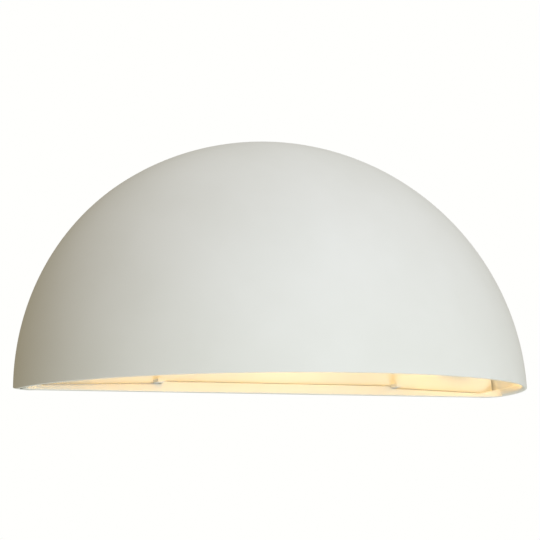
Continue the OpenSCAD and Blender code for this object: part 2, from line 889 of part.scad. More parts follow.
module lamp_insulator() {
    color(rubber) on_lamp_axis() translate([0, 0, contact_t])
        cylinder(r1 = contact_r + 1, r2 = cap_root_r - cap_wall, h = insulator_l);
}

module lamp_cap() {
    bore = cap_root_r - cap_wall;
    sleeve_bore = neck_r + 0.1;
    flare_l = 1.5;
    color(zinc) on_lamp_axis() ring_skin(concat(
        thread_rings(cap_root_r, thread_from, thread_to, false),
        [plain_ring(cap_sleeve_r, thread_to + flare_l), plain_ring(cap_sleeve_r, cap_to)],
        [plain_ring(sleeve_bore, cap_to), plain_ring(sleeve_bore, neck_from - 0.5)],
        [plain_ring(bore, neck_from - 0.5), plain_ring(bore, thread_from)]
    ));
}

// Half outline of the bulb from its axis outwards: neck, blend and ball are tangent to each other
module bulb_half(inset) {
    ball = bulb_r - inset;
    neck = neck_r - inset;
    blend = blend_r + inset;
    meet = ball / (ball + blend);
    meet_x = (neck + blend) * meet;
    meet_z = bulb_mid - (bulb_mid - blend_from) * meet;
    translate([0, neck_from]) square([neck, blend_from - neck_from]);
    difference() {
        translate([0, blend_from]) square([meet_x, meet_z - blend_from]);
        translate([neck + blend, blend_from]) circle(r = blend, $fn = 96);
    }
    intersection() {
        translate([0, bulb_mid]) circle(r = ball, $fn = 96);
        translate([0, meet_z]) square([big, big]);
    }
}

module lamp_glass() {
    color([0.96, 0.94, 0.88]) on_lamp_axis() rotate_extrude($fn = 96) difference() {
        bulb_half(0);
        bulb_half(glass_t);
    }
}

module lamp_stem() {
    flare_t = 1.4;
    flare_l = 4;
    pinch_l = 3;
    color([0.85, 0.88, 0.88]) on_lamp_axis() rotate_extrude() polygon([
        [0, neck_from], [neck_r - glass_t, neck_from], [neck_r - glass_t, neck_from + flare_t],
        [stem_r + flare_t, neck_from + flare_t + flare_l / 4], [stem_r, neck_from + flare_t + flare_l],
        [stem_r, stem_to - pinch_l], [stem_r - flare_t, stem_to], [0, stem_to]
    ]);
}

// Two wires from the stem's tip to the filament's ends
module lamp_supports() {
    apart = 1.6;
    sunk = 1.5;
    rise = filament_at - stem_to + sunk;
    lean = filament_half - apart;
    color(steel) on_lamp_axis() for (side = [-1, 1]) {
        translate([0, side * apart, stem_to - sunk]) rotate([-side * atan(lean / rise), 0, 0])
            cylinder(r = support_r, h = norm([rise, lean]));
    }
}

// The wound filament, as a thin bow between its two supports
module lamp_filament() {
    coil_r = 0.7;
    bow_r = 20;
    half_turn = asin((filament_half - 0.2) / bow_r);
    color([0.35, 0.34, 0.33]) on_lamp_axis()
        translate([0, 0, filament_at + coil_r + support_r - bow_r * cos(half_turn)]) rotate([0, -90, 0])
        rotate([0, 0, -half_turn]) rotate_extrude(angle = 2 * half_turn)
        translate([bow_r, 0]) circle(r = coil_r);
}

shade();
screw_washers();
left_knob();
right_knob();
left_retaining_ring();
right_retaining_ring();
left_square_nut();
right_square_nut();
wall_plate();
wall_gasket();
cable_grommet();
holder_bracket();
bracket_rivets();
holder_nipple();
nipple_nut();
holder_base();
holder_skirt();
screw_shell();
centre_contact();
terminal_block();
terminal_tubes();
terminal_screws();
block_screw();
earth_lug();
earth_washer();
earth_screw();
live_lead();
neutral_lead();
earth_lead();
lamp_contact();
lamp_insulator();
lamp_cap();
lamp_glass();
lamp_stem();
lamp_supports();
lamp_filament();
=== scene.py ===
"""Half-dome wall light: the finish of every piece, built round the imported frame.

The shade is a white half dome, open below, over a lit screw-cap lamp that lies along the wall.
X runs along the wall, Y points into the wall and Z is up; all sizes are in metres.
"""

import json
import logging
import math
from dataclasses import dataclass
from enum import Enum

import bmesh
import bpy
import numpy as np
from mathutils import Matrix, Vector


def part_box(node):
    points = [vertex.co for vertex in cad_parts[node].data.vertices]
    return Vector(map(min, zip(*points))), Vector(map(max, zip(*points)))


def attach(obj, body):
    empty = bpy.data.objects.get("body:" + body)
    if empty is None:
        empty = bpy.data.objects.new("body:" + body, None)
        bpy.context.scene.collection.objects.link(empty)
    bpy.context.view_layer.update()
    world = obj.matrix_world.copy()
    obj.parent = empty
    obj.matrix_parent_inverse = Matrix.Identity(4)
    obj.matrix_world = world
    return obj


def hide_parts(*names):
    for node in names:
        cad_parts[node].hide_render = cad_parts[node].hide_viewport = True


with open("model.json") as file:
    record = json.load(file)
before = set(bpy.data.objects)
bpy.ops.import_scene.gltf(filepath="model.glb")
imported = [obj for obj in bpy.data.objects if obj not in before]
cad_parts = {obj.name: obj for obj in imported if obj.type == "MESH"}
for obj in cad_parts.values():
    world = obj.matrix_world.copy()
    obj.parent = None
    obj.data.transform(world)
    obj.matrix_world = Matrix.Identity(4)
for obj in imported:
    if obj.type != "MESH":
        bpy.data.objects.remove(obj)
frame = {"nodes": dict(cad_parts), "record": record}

log = logging.getLogger("wall_light")
Array = np.ndarray
Place = tuple[float, float, float]
MM = 0.001
TINY = 1e-12


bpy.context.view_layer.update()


# ---- Finishes ----


def linear(colour: str) -> tuple[float, float, float, float]:
    """Turns an sRGB colour into the linear one that the shaders take.

    Args:
        colour: six hexadecimal digits after a '#'.

    Returns:
        Red, green, blue and an opacity of one.
    """
    parts = [int(colour[i : i + 2], 16) / 255 for i in (1, 3, 5)]
    return (*[c / 12.92 if c <= 0.04045 else ((c + 0.055) / 1.055) ** 2.4 for c in parts], 1.0)


def add_node(
    tree: bpy.types.NodeTree, kind: str, settings: dict | None = None, inputs: dict | None = None
) -> bpy.types.Node:
    """Adds one shader node.

    Args:
        tree: the node tree that it goes into.
        kind: Blender's name of the node's type.
        settings: the node's properties by name.
        inputs: a value, or the output of another node, for each input by name or number.

    Returns:
        The new node.
    """
    node = tree.nodes.new(kind)
    for name, value in (settings or {}).items():
        setattr(node, name, value)
    for name, value in (inputs or {}).items():
        if isinstance(value, bpy.types.NodeSocket):
            tree.links.new(value, node.inputs[name])
        else:
            node.inputs[name].default_value = value
    return node


class Relief(Enum):
    """How a surface was made, which decides the shape of its fine relief."""

    SPRAYED = "rounded bumps of a sprayed or poured skin"
    CELLS = "open cells of a foam"
    LINES = "fine lines left by rolling, drawing, brushing or turning"


# The part of a noise's range over which the two colours of a finish blend
PATCH_RANGE = {"From Min": 0.32, "From Max": 0.68}
# Where a stripe starts and is full, in turns round a lead from the middle of the gap between two stripes
STRIPE_RANGE = {"From Min": 0.15, "From Max": 0.17}
COAT_ROUGHNESS = 0.08


@dataclass(frozen=True)
class Finish:
    """One real surface.

    Two colours mix in soft patches of patch_mm. The relief has features of relief_mm and is depth_mm deep;
    run is how many times longer than wide its features are along each axis. The same relief swings the
    roughness.
    """

    name: str
    slot: str
    colour: str
    second: str
    rough: float
    swing: float = 0.04
    patch_mm: float = 20.0
    relief: Relief = Relief.SPRAYED
    relief_mm: float = 1.0
    depth_mm: float = 0.01
    run: tuple[float, float, float] = (1.0, 1.0, 1.0)
    metallic: float = 0.0
    coat: float = 0.0
    ior: float = 1.5
    clear: float = 0.0
    glow: str = "#000000"
    glow_strength: float = 0.0
    stripe: str = ""

    def material(self) -> bpy.types.Material:
        """Makes the material, or finds it if a piece already has it."""
        return bpy.data.materials.get(self.label) or self._build()

    @property
    def label(self) -> str:
        """The material's name, which no material of the frame has."""
        return "finish_" + self.name

    def _build(self) -> bpy.types.Material:
        """Builds the shader: patches give the colour, the relief gives the bump and swings the roughness.

        Returns:
            The new material.
        """
        material = bpy.data.materials.new(self.label)
        material.use_nodes = True
        tree = material.node_tree
        tree.nodes.clear()
        place = add_node(tree, "ShaderNodeTexCoord").outputs["Object"]
        patches = add_node(tree, "ShaderNodeTexNoise", inputs={
            "Vector": place, "Scale": 1 / (self.patch_mm * MM), "Detail": 3.0, "Roughness": 0.55})
        share = add_node(tree, "ShaderNodeMapRange", inputs={
            "Value": patches.outputs["Fac"], **PATCH_RANGE})
        colour = add_node(tree, "ShaderNodeMix", {"data_type": "RGBA"}, {
            "Factor": share.outputs["Result"], 6: linear(self.colour), 7: linear(self.second)}).outputs[2]
        if self.stripe:
            colour = self._striped(tree, colour)
        height = self._relief(tree, place)
        bump = add_node(tree, "ShaderNodeBump", inputs={
            "Height": height, "Strength": 1.0, "Distance": self.depth_mm * MM})
        rough = add_node(tree, "ShaderNodeMapRange", inputs={
            "Value": height, "To Min": self.rough - self.swing, "To Max": self.rough + self.swing})
        surface = add_node(tree, "ShaderNodeBsdfPrincipled", inputs={
            "Base Color": colour, "Roughness": rough.outputs["Result"], "Normal": bump.outputs["Normal"],
            "Metallic": self.metallic, "Coat Weight": self.coat, "Coat Roughness": COAT_ROUGHNESS,
            "IOR": self.ior, "Transmission Weight": self.clear, "Emission Color": linear(self.glow),
            "Emission Strength": self.glow_strength})
        add_node(tree, "ShaderNodeOutputMaterial", inputs={"Surface": surface.outputs["BSDF"]})
        return material

    def _relief(self, tree: bpy.types.NodeTree, place: bpy.types.NodeSocket) -> bpy.types.NodeSocket:
        """Adds the nodes of the relief.

        Args:
            tree: the material's node tree.
            place: object coordinates.

        Returns:
            The relief's height, from zero to one.
        """
        stretched = add_node(tree, "ShaderNodeMapping", inputs={
            "Vector": place, "Scale": [1 / (self.relief_mm * MM * run) for run in self.run]}).outputs["Vector"]
        if self.relief is Relief.CELLS:
            cells = add_node(tree, "ShaderNodeTexVoronoi", inputs={"Vector": stretched, "Scale": 1.0})
            return cells.outputs["Distance"]
        detail = 1.0 if self.relief is Relief.SPRAYED else 4.0
        return add_node(tree, "ShaderNodeTexNoise", inputs={
            "Vector": stretched, "Scale": 1.0, "Detail": detail}).outputs["Fac"]

    def _striped(self, tree: bpy.types.NodeTree, colour: bpy.types.NodeSocket) -> bpy.types.NodeSocket:
        """Lays two lengthwise stripes over the colour, by the UV map, whose U runs once round.

        Args:
            tree: the material's node tree.
            colour: the colour under the stripes.

        Returns:
            The striped colour.
        """
        round_it = add_node(tree, "ShaderNodeSeparateXYZ", inputs={
            0: add_node(tree, "ShaderNodeTexCoord").outputs["UV"]}).outputs["X"]
        twice = add_node(tree, "ShaderNodeMath", {"operation": "PINGPONG"}, {0: round_it, 1: 0.25}).outputs[0]
        inside = add_node(tree, "ShaderNodeMapRange", inputs={
            "Value": twice, **STRIPE_RANGE}).outputs["Result"]
        return add_node(tree, "ShaderNodeMix", {"data_type": "RGBA"}, {
            "Factor": inside, 6: colour, 7: linear(self.stripe)}).outputs[2]


def metal(name: str, slot: str, colours: tuple[str, str], rough: float, swing: float, patch_mm: float,
          relief_mm: float, depth_mm: float, run: Place) -> Finish:
    """Bare metal with fine lines.

    Args:
        name: the finish's name.
        slot: the CAD slot that it stands for.
        colours: the two colours that mix in patches.
        rough: its roughness.
        swing: how far the relief swings the roughness.
        patch_mm: size of the patches.
        relief_mm: distance between the lines.
        depth_mm: their depth.
        run: how many times longer than wide they are along each axis.

    Returns:
        The finish.
    """
    return Finish(name, slot, *colours, rough, swing, patch_mm, Relief.LINES, relief_mm, depth_mm, run, 1.0)


def silicone(name: str, slot: str, colour: str, second: str, stripe: str = "") -> Finish:
    """Extruded silicone insulation: a soft sheen and lengthwise flow lines.

    Args:
        name: the finish's name.
        slot: the CAD slot that it stands for.
        colour: its first colour.
        second: the colour that mixes with it in patches.
        stripe: colour of the two stripes along it, or nothing.

    Returns:
        The finish.
    """
    return Finish(name, slot, colour, second, 0.45, 0.06, 5.0, Relief.LINES, 0.4, 0.008, (8.0, 1.0, 1.0),
                  stripe=stripe)


# Matt polyester powder coat over die-cast aluminium: baked powder flows into a faint orange peel
POWDER_COAT = Finish("powder_coat", "white_coat", "#EFEFE9", "#EBEBE4", 0.56, 0.05, 45.0,
                     relief_mm=1.6, depth_mm=0.006)
# The same coat on the pressed steel plate, thinner, so the rolled sheet's long waves show a little
COATED_SHEET = Finish("coated_sheet", "white_coat", "#ECECE5", "#E7E7DF", 0.5, 0.05, 30.0,
                      Relief.LINES, 2.2, 0.004, (6.0, 1.0, 1.0))
# Zinc-plated steel, passivated: bluish and yellowish patches over rolled lines
ZINC_PLATE = metal("zinc_plated_steel", "zinc", ("#C3C8CC", "#CFCBB8"), 0.32, 0.1, 4.0,
                   0.35, 0.006, (1.0, 1.0, 9.0))
# Free-cutting steel, turned: fine rings round the axis, so the lines run level
TURNED_STEEL = metal("turned_steel", "steel", ("#B9BBBE", "#A9ABAF"), 0.26, 0.08, 6.0,
                     0.16, 0.004, (12.0, 12.0, 1.0))
# Pressed brass: warm, nearly bright, with drawing lines along the lamp's axis
PRESSED_BRASS = metal("pressed_brass", "brass", ("#D8B25A", "#C39A48"), 0.24, 0.08, 5.0,
                      0.3, 0.004, (9.0, 1.0, 1.0))
# Thin aluminium sheet, rolled into the cap's thread: pale, satin, faintly grooved along the roll
ROLLED_ALUMINIUM = metal("rolled_aluminium", "cap_metal", ("#D3D2CE", "#C4C3BE"), 0.3, 0.1, 4.0,
                         0.25, 0.004, (1.0, 7.0, 7.0))
# Molybdenum and nickel support wire, drawn
DRAWN_WIRE = metal("drawn_wire", "steel", ("#A6A7AA", "#96979B"), 0.3, 0.06, 3.0, 0.2, 0.003, (9.0, 1.0, 1.0))
# Solder on the lamp's contact: dull grey tin with a puddled surface
SOLDERED_TIN = Finish("soldered_tin", "zinc", "#B4B6B5", "#9FA2A3", 0.38, 0.1, 3.0,
                      relief_mm=1.2, depth_mm=0.06, metallic=1.0)
# Closed-cell EPDM foam, cut from sheet: the cut cells show as small pits
EPDM_FOAM = Finish("epdm_foam", "rubber", "#26272A", "#303135", 0.9, 0.05, 12.0, Relief.CELLS, 0.9, 0.25)
# Moulded EPDM rubber: matt, with the faint bloom of the mould
MOULDED_RUBBER = Finish("moulded_rubber", "rubber", "#2A2A2D", "#35363A", 0.62, 0.08, 8.0,
                        relief_mm=0.5, depth_mm=0.012)
# Glazed porcelain: pressed, glazed and fired; the glaze lies in shallow waves over a warm white body
GLAZED_PORCELAIN = Finish("glazed_porcelain", "porcelain", "#F0EBDF", "#E6DFD0", 0.16, 0.05, 9.0,
                          relief_mm=3.5, depth_mm=0.05, coat=0.7)
# Natural polyamide, injection moulded: creamy, slightly waxy, with a spark-eroded grain
MOULDED_POLYAMIDE = Finish("moulded_polyamide", "nylon", "#E9E4D3", "#DFD8C2", 0.42, 0.07, 7.0,
                           relief_mm=0.35, depth_mm=0.01, coat=0.1)
LIVE_SILICONE = silicone("brown_silicone", "live_insulation", "#6B422A", "#5C3722")
NEUTRAL_SILICONE = silicone("blue_silicone", "neutral_insulation", "#2C5499", "#24488A")
EARTH_SILICONE = silicone("green_yellow_silicone", "earth_insulation", "#3F8A3A", "#377E35", "#E6C72F")
# Black glass, cast between cap and contact: glossy with slow waves
CAST_BLACK_GLASS = Finish("cast_black_glass", "black_glass", "#141417", "#1C1C21", 0.12, 0.05, 5.0,
                          relief_mm=2.5, depth_mm=0.05, coat=0.6)
# Pearl glass, blown and etched inside: the lit bulb glows evenly and warm
PEARL_GLASS = Finish("pearl_glass", "pearl_glass", "#F4EEE2", "#EFE7D8", 0.3, 0.04, 15.0,
                     relief_mm=4.0, depth_mm=0.02, coat=0.5, glow="#FFD898", glow_strength=1.5)
# Clear soda-lime glass, drawn and pinched
DRAWN_GLASS = Finish("drawn_glass", "clear_glass", "#F0F4F2", "#E6ECEA", 0.05, 0.02, 8.0,
                     relief_mm=2.0, depth_mm=0.03, clear=0.9)
# Tungsten wire, wound into a coil: dark and slightly rough, glowing in the lit lamp
TUNGSTEN = Finish("tungsten", "tungsten", "#5A5856", "#4B4947", 0.42, 0.06, 2.0,
                  relief_mm=0.2, depth_mm=0.003, metallic=1.0, glow="#FFC27A", glow_strength=40.0)
# Smooth painted board under the light, for the studio only
PALE_FLOOR = Finish("pale_floor", "", "#F2F1EC", "#EFEEE8", 0.7, patch_mm=400.0, relief_mm=5.0, depth_mm=0.05)


# ---- Surfaces ----


@dataclass
class Skin:
    """Points and faces of one surface."""

    points: Array
    faces: list[list[int]]

    @classmethod
    def over(
        cls, grid: Array, wrap_rows: bool = False, wrap_cols: bool = False, capped: bool = False
    ) -> "Skin":
        """Lays quads between the neighbouring points of a grid.

        Args:
            grid: points in rows and columns.
            wrap_rows: the last row meets the first.
            wrap_cols: the last column meets the first.
            capped: the first and the last row are each closed by one flat face.

        Returns:
            The skin.
        """
        rows, cols = grid.shape[:2]
        steps = np.arange(rows - (not wrap_rows)), np.arange(cols - (not wrap_cols))
        i, j = np.meshgrid(*steps, indexing="ij")
        below, beside = (i + 1) % rows * cols, (j + 1) % cols
        quads = np.stack([i * cols + j, i * cols + beside, below + beside, below + j], -1).reshape(-1, 4)
        caps = [list(range(cols)), list(range((rows - 1) * cols, rows * cols))] if capped else []
        return cls(grid.reshape(-1, 3), quads.tolist() + caps)

    def moved(self, turn: Array, shift: Place) -> "Skin":
        """The skin with each point multiplied by a 3 by 3 matrix and shifted."""
        return Skin(self.points @ np.asarray(turn, float).T + np.asarray(shift, float), self.faces)


UPRIGHT = np.eye(3)
# Local Z out of the wall, local Y up
OUT_OF_WALL = np.array([[1, 0, 0], [0, 0, -1], [0, 1, 0]], float)
# Local Z along +X, local X down
ALONG_WALL = np.array([[0, 0, 1], [0, 1, 0], [-1, 0, 0]], float)


def rounded(points: list[tuple[float, float]], radius: float, closed: bool = True, steps: int = 4) -> Array:
    """Outline with its corners rounded.

    Each corner becomes a parabola that leaves one side and meets the next at the radius from the corner, or
    at 0.45 of a shorter side: (1 - t)^2 a + 2 t (1 - t) corner + t^2 b.

    Args:
        points: the corners in order.
        radius: how far from a corner its rounding starts.
        closed: whether the last corner joins the first; otherwise both ends stay sharp.
        steps: pieces in each rounding.

    Returns:
        The outline's points, one row each.
    """
    sharp = np.asarray(points, float)

    def along(other: Array) -> Array:
        """Points on the sides towards other corners, where the roundings start.

        Args:
            other: for each corner, the one that its side leads to.

        Returns:
            One point for each corner.
        """
        gap = other - sharp
        length = np.linalg.norm(gap, axis=1, keepdims=True)
        return sharp + gap / length * np.minimum(radius, 0.45 * length)

    a, b = along(np.roll(sharp, 1, 0)), along(np.roll(sharp, -1, 0))
    t = np.linspace(0, 1, steps + 1)[None, :, None]
    arcs = (1 - t) ** 2 * a[:, None] + 2 * t * (1 - t) * sharp[:, None] + t**2 * b[:, None]
    if closed:
        return arcs.reshape(-1, 2)
    return np.concatenate([sharp[:1], arcs[1:-1].reshape(-1, 2), sharp[-1:]])


AROUND = 96  # points round most turned forms


def full_turn(steps: int) -> Array:
    """Even angles round one full turn."""
    return np.linspace(0, 2 * math.pi, steps, endpoint=False)


def rings(radius: Array, z: Array, angle: Array) -> Array:
    """Rows of points round local Z: (r cos angle, r sin angle, z)."""
    return np.stack([radius * np.cos(angle), radius * np.sin(angle), z + 0 * angle], -1)


def thread_depth(z: Array, pitch: float, angle: Array) -> Array:
    """How far a thread has sunk, from nought on its ridge to one: (1 - cos(2 pi z / pitch - angle)) / 2."""
    return (1 - np.cos(2 * math.pi * z[:, None] / pitch - angle)) / 2


def lathe(profile: Array, closed: bool = True, turns: int = AROUND) -> Skin:
    """Turns a profile round local Z.

    Args:
        profile: radius and height of each point.
        closed: the profile is a ring that doesn't meet the axis; otherwise both its ends lie on the axis.
        turns: points round the axis.

    Returns:
        The skin.
    """
    grid = rings(profile[:, :1], profile[:, 1:], full_turn(turns))
    return Skin.over(grid, wrap_rows=closed, wrap_cols=True)


def smooth_path(route: list[Place], steps: int) -> Array:
    """Smooth curve through the points of a route.

    Between two points runs a cubic, whose slope at each point is half the step from the point before to
    the point after.

    Args:
        route: the points.
        steps: pieces between two points.

    Returns:
        The curve's points, one row each.
    """
    p = np.asarray(route, float)
    p = np.concatenate([p[:1], p, p[-1:]])
    a, b, c, d = (p[i : len(p) - 3 + i, None] for i in range(4))
    t = (np.arange(steps) / steps)[None, :, None]
    curve = (2 * b + (c - a) * t + (2 * a - 5 * b + 4 * c - d) * t**2 + (3 * b - a - 3 * c + d) * t**3) / 2
    return np.concatenate([curve.reshape(-1, 3), p[-1:]])


def round_tube(path: Array, radius: float, side: Array, sides: int) -> Skin:
    """Round tube along a path.

    Each ring lies square to the path, and starts on the side nearest to a direction.

    Args:
        path: points of the centreline.
        radius: the tube's radius.
        side: one direction, or one for each point, that never runs along the path.
        sides: points round the tube.

    Returns:
        The skin, closed at both ends.
    """
    ahead = np.gradient(path, axis=0)
    ahead /= np.linalg.norm(ahead, axis=1, keepdims=True)
    across = side - np.sum(side * ahead, axis=1, keepdims=True) * ahead
    across /= np.linalg.norm(across, axis=1, keepdims=True)
    up = np.cross(ahead, across)
    angle = full_turn(sides)[None, :, None]
    grid = path[:, None] + radius * (np.cos(angle) * across[:, None] + np.sin(angle) * up[:, None])
    return Skin.over(grid, wrap_cols=True, capped=True)


def holed_plate(outline: Array, bore: float, low: float, high: float, edge: float) -> Skin:
    """Flat plate with a round hole on local Z and rounded edges.

    Each point of the outline has a partner on the hole in the same direction. The ring of eight rows runs
    up the outside, in over the top, down the bore and back below; near an edge a row is drawn in by the
    edge's radius.

    Args:
        outline: the plate's outline about the hole's centre.
        bore: the hole's radius.
        low: height of the underside.
        high: height of the top.
        edge: radius of the edges.

    Returns:
        The skin.
    """
    reach = np.linalg.norm(outline, axis=1, keepdims=True)
    way = outline / reach
    rows = [(reach - edge, low), (reach, low + edge), (reach, high - edge), (reach - edge, high)]
    rows += [(bore + edge, high), (bore, high - edge), (bore, low + edge), (bore + edge, low)]
    grid = np.stack([np.column_stack([way * r, np.full(len(way), z)]) for r, z in rows])
    return Skin.over(grid, wrap_rows=True, wrap_cols=True)


def soft_block(low: Place, high: Place, edge: float) -> Skin:
    """Block with rounded edges: an outline with rounded corners, drawn in by the edge's radius at both ends.

    Args:
        low: lowest corner.
        high: highest corner.
        edge: radius of the edges.

    Returns:
        The closed skin.
    """
    corners_xy = [(low[0], low[1]), (high[0], low[1]), (high[0], high[1]), (low[0], high[1])]
    outline = rounded(corners_xy, 2 * edge)
    middle = outline.mean(0)
    inner = outline - np.sign(outline - middle) * edge
    rows = [(inner, low[2]), (outline, low[2] + edge), (outline, high[2] - edge), (inner, high[2])]
    grid = np.stack([np.column_stack([flat, np.full(len(flat), z)]) for flat, z in rows])
    return Skin.over(grid, wrap_cols=True, capped=True)


# ---- Pieces ----


SHARP_DEG, CAD_SHARP_DEG = 38.0, 30.0  # faces that meet at a larger angle keep a sharp edge between them
BROKEN_DEG = 40.0  # edges of CAD copies that are sharper than this are broken
SAME_PLACE, SAME_CAD_PLACE = 1e-7, 2e-6  # points nearer than this are one, in own meshes and in the CAD's


def put(name: str, data: bpy.types.ID) -> bpy.types.Object:
    """Adds an object to the scene.

    Args:
        name: its name.
        data: its mesh, light or camera.

    Returns:
        The new object, at the origin.
    """
    made = bpy.data.objects.new(name, data)
    bpy.context.scene.collection.objects.link(made)
    return made


def weld(mesh: bpy.types.Mesh, reach: float, flatten: bool) -> None:
    """Merges the points of a mesh that nearly coincide.

    Args:
        mesh: the mesh, which is changed.
        reach: points nearer than this become one.
        flatten: join flat neighbours into one face; otherwise every face is turned outward.
    """
    work = bmesh.new()
    work.from_mesh(mesh)
    bmesh.ops.remove_doubles(work, verts=work.verts, dist=reach)
    if flatten:
        bmesh.ops.dissolve_limit(work, angle_limit=math.radians(1), verts=work.verts, edges=work.edges)
    else:
        bmesh.ops.recalc_face_normals(work, faces=work.faces)
    work.to_mesh(mesh)
    work.free()


def piece(
    name: str, skins: list[Skin], finish: Finish, body: str, stands_for: str, sharp_deg: float = SHARP_DEG
) -> bpy.types.Object:
    """Puts skins into one mesh and gives it its finish, body and CAD node.

    Args:
        name: the piece's name.
        skins: its surfaces.
        finish: its material.
        body: the CAD body that it moves with.
        stands_for: the CAD node that it replaces.
        sharp_deg: faces that meet at a larger angle than this keep a sharp edge between them.

    Returns:
        The new object, at the origin.
    """
    faces, count = [], 0
    for skin in skins:
        faces += [[corner + count for corner in face] for face in skin.faces]
        count += len(skin.points)
    mesh = bpy.data.meshes.new(name)
    mesh.from_pydata(np.concatenate([skin.points for skin in skins]), [], faces)
    weld(mesh, SAME_PLACE, False)
    return dressed(name, mesh, finish, body, stands_for, sharp_deg)


def dressed(
    name: str, mesh: bpy.types.Mesh, finish: Finish, body: str, stands_for: str, sharp_deg: float
) -> bpy.types.Object:
    """Makes an object of a finished mesh, with its finish, body and CAD node.

    Args:
        name: the piece's name.
        mesh: its mesh, in the part's own frame.
        finish: its material.
        body: the CAD body that it moves with.
        stands_for: the CAD node that it replaces.
        sharp_deg: faces that meet at a larger angle than this keep a sharp edge between them.

    Returns:
        The new object, at the origin.
    """
    mesh.shade_smooth()
    mesh.set_sharp_from_angle(angle=math.radians(sharp_deg))
    mesh.materials.clear()
    mesh.materials.append(finish.material())
    made = put(name, mesh)
    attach(made, body)
    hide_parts(stands_for)
    log.info("%s: %d points, stands for %s on %s", name, len(mesh.vertices), stands_for, body)
    return made


def body_of(node: str) -> str:
    """The CAD body that a node belongs to."""
    return next(body for body, nodes in frame["record"]["behaviour"]["bodies"].items() if node in nodes)


def edged(node: str, finish: Finish, edge_mm: float) -> None:
    """Finished copy of a CAD node: its points merged, its flat triangles joined and its edges broken.

    Args:
        node: the CAD node.
        finish: its material.
        edge_mm: width of the broken edges.
    """
    source = frame["nodes"][node].data
    source.calc_loop_triangles()
    points = np.empty(len(source.vertices) * 3, np.float32)
    source.vertices.foreach_get("co", points)
    triangles = np.empty(len(source.loop_triangles) * 3, np.int32)
    source.loop_triangles.foreach_get("vertices", triangles)
    mesh = bpy.data.meshes.new("finished_" + node)
    mesh.from_pydata(points.reshape(-1, 3), [], triangles.reshape(-1, 3))
    weld(mesh, SAME_CAD_PLACE, True)
    made = dressed("finished_" + node, mesh, finish, body_of(node), node, CAD_SHARP_DEG)
    edges = made.modifiers.new("broken_edges", "BEVEL")
    edges.width = edge_mm * MM
    edges.segments = 2
    edges.limit_method = "ANGLE"
    edges.angle_limit = math.radians(BROKEN_DEG)
    edges.use_clamp_overlap = True


# ---- Shade ----


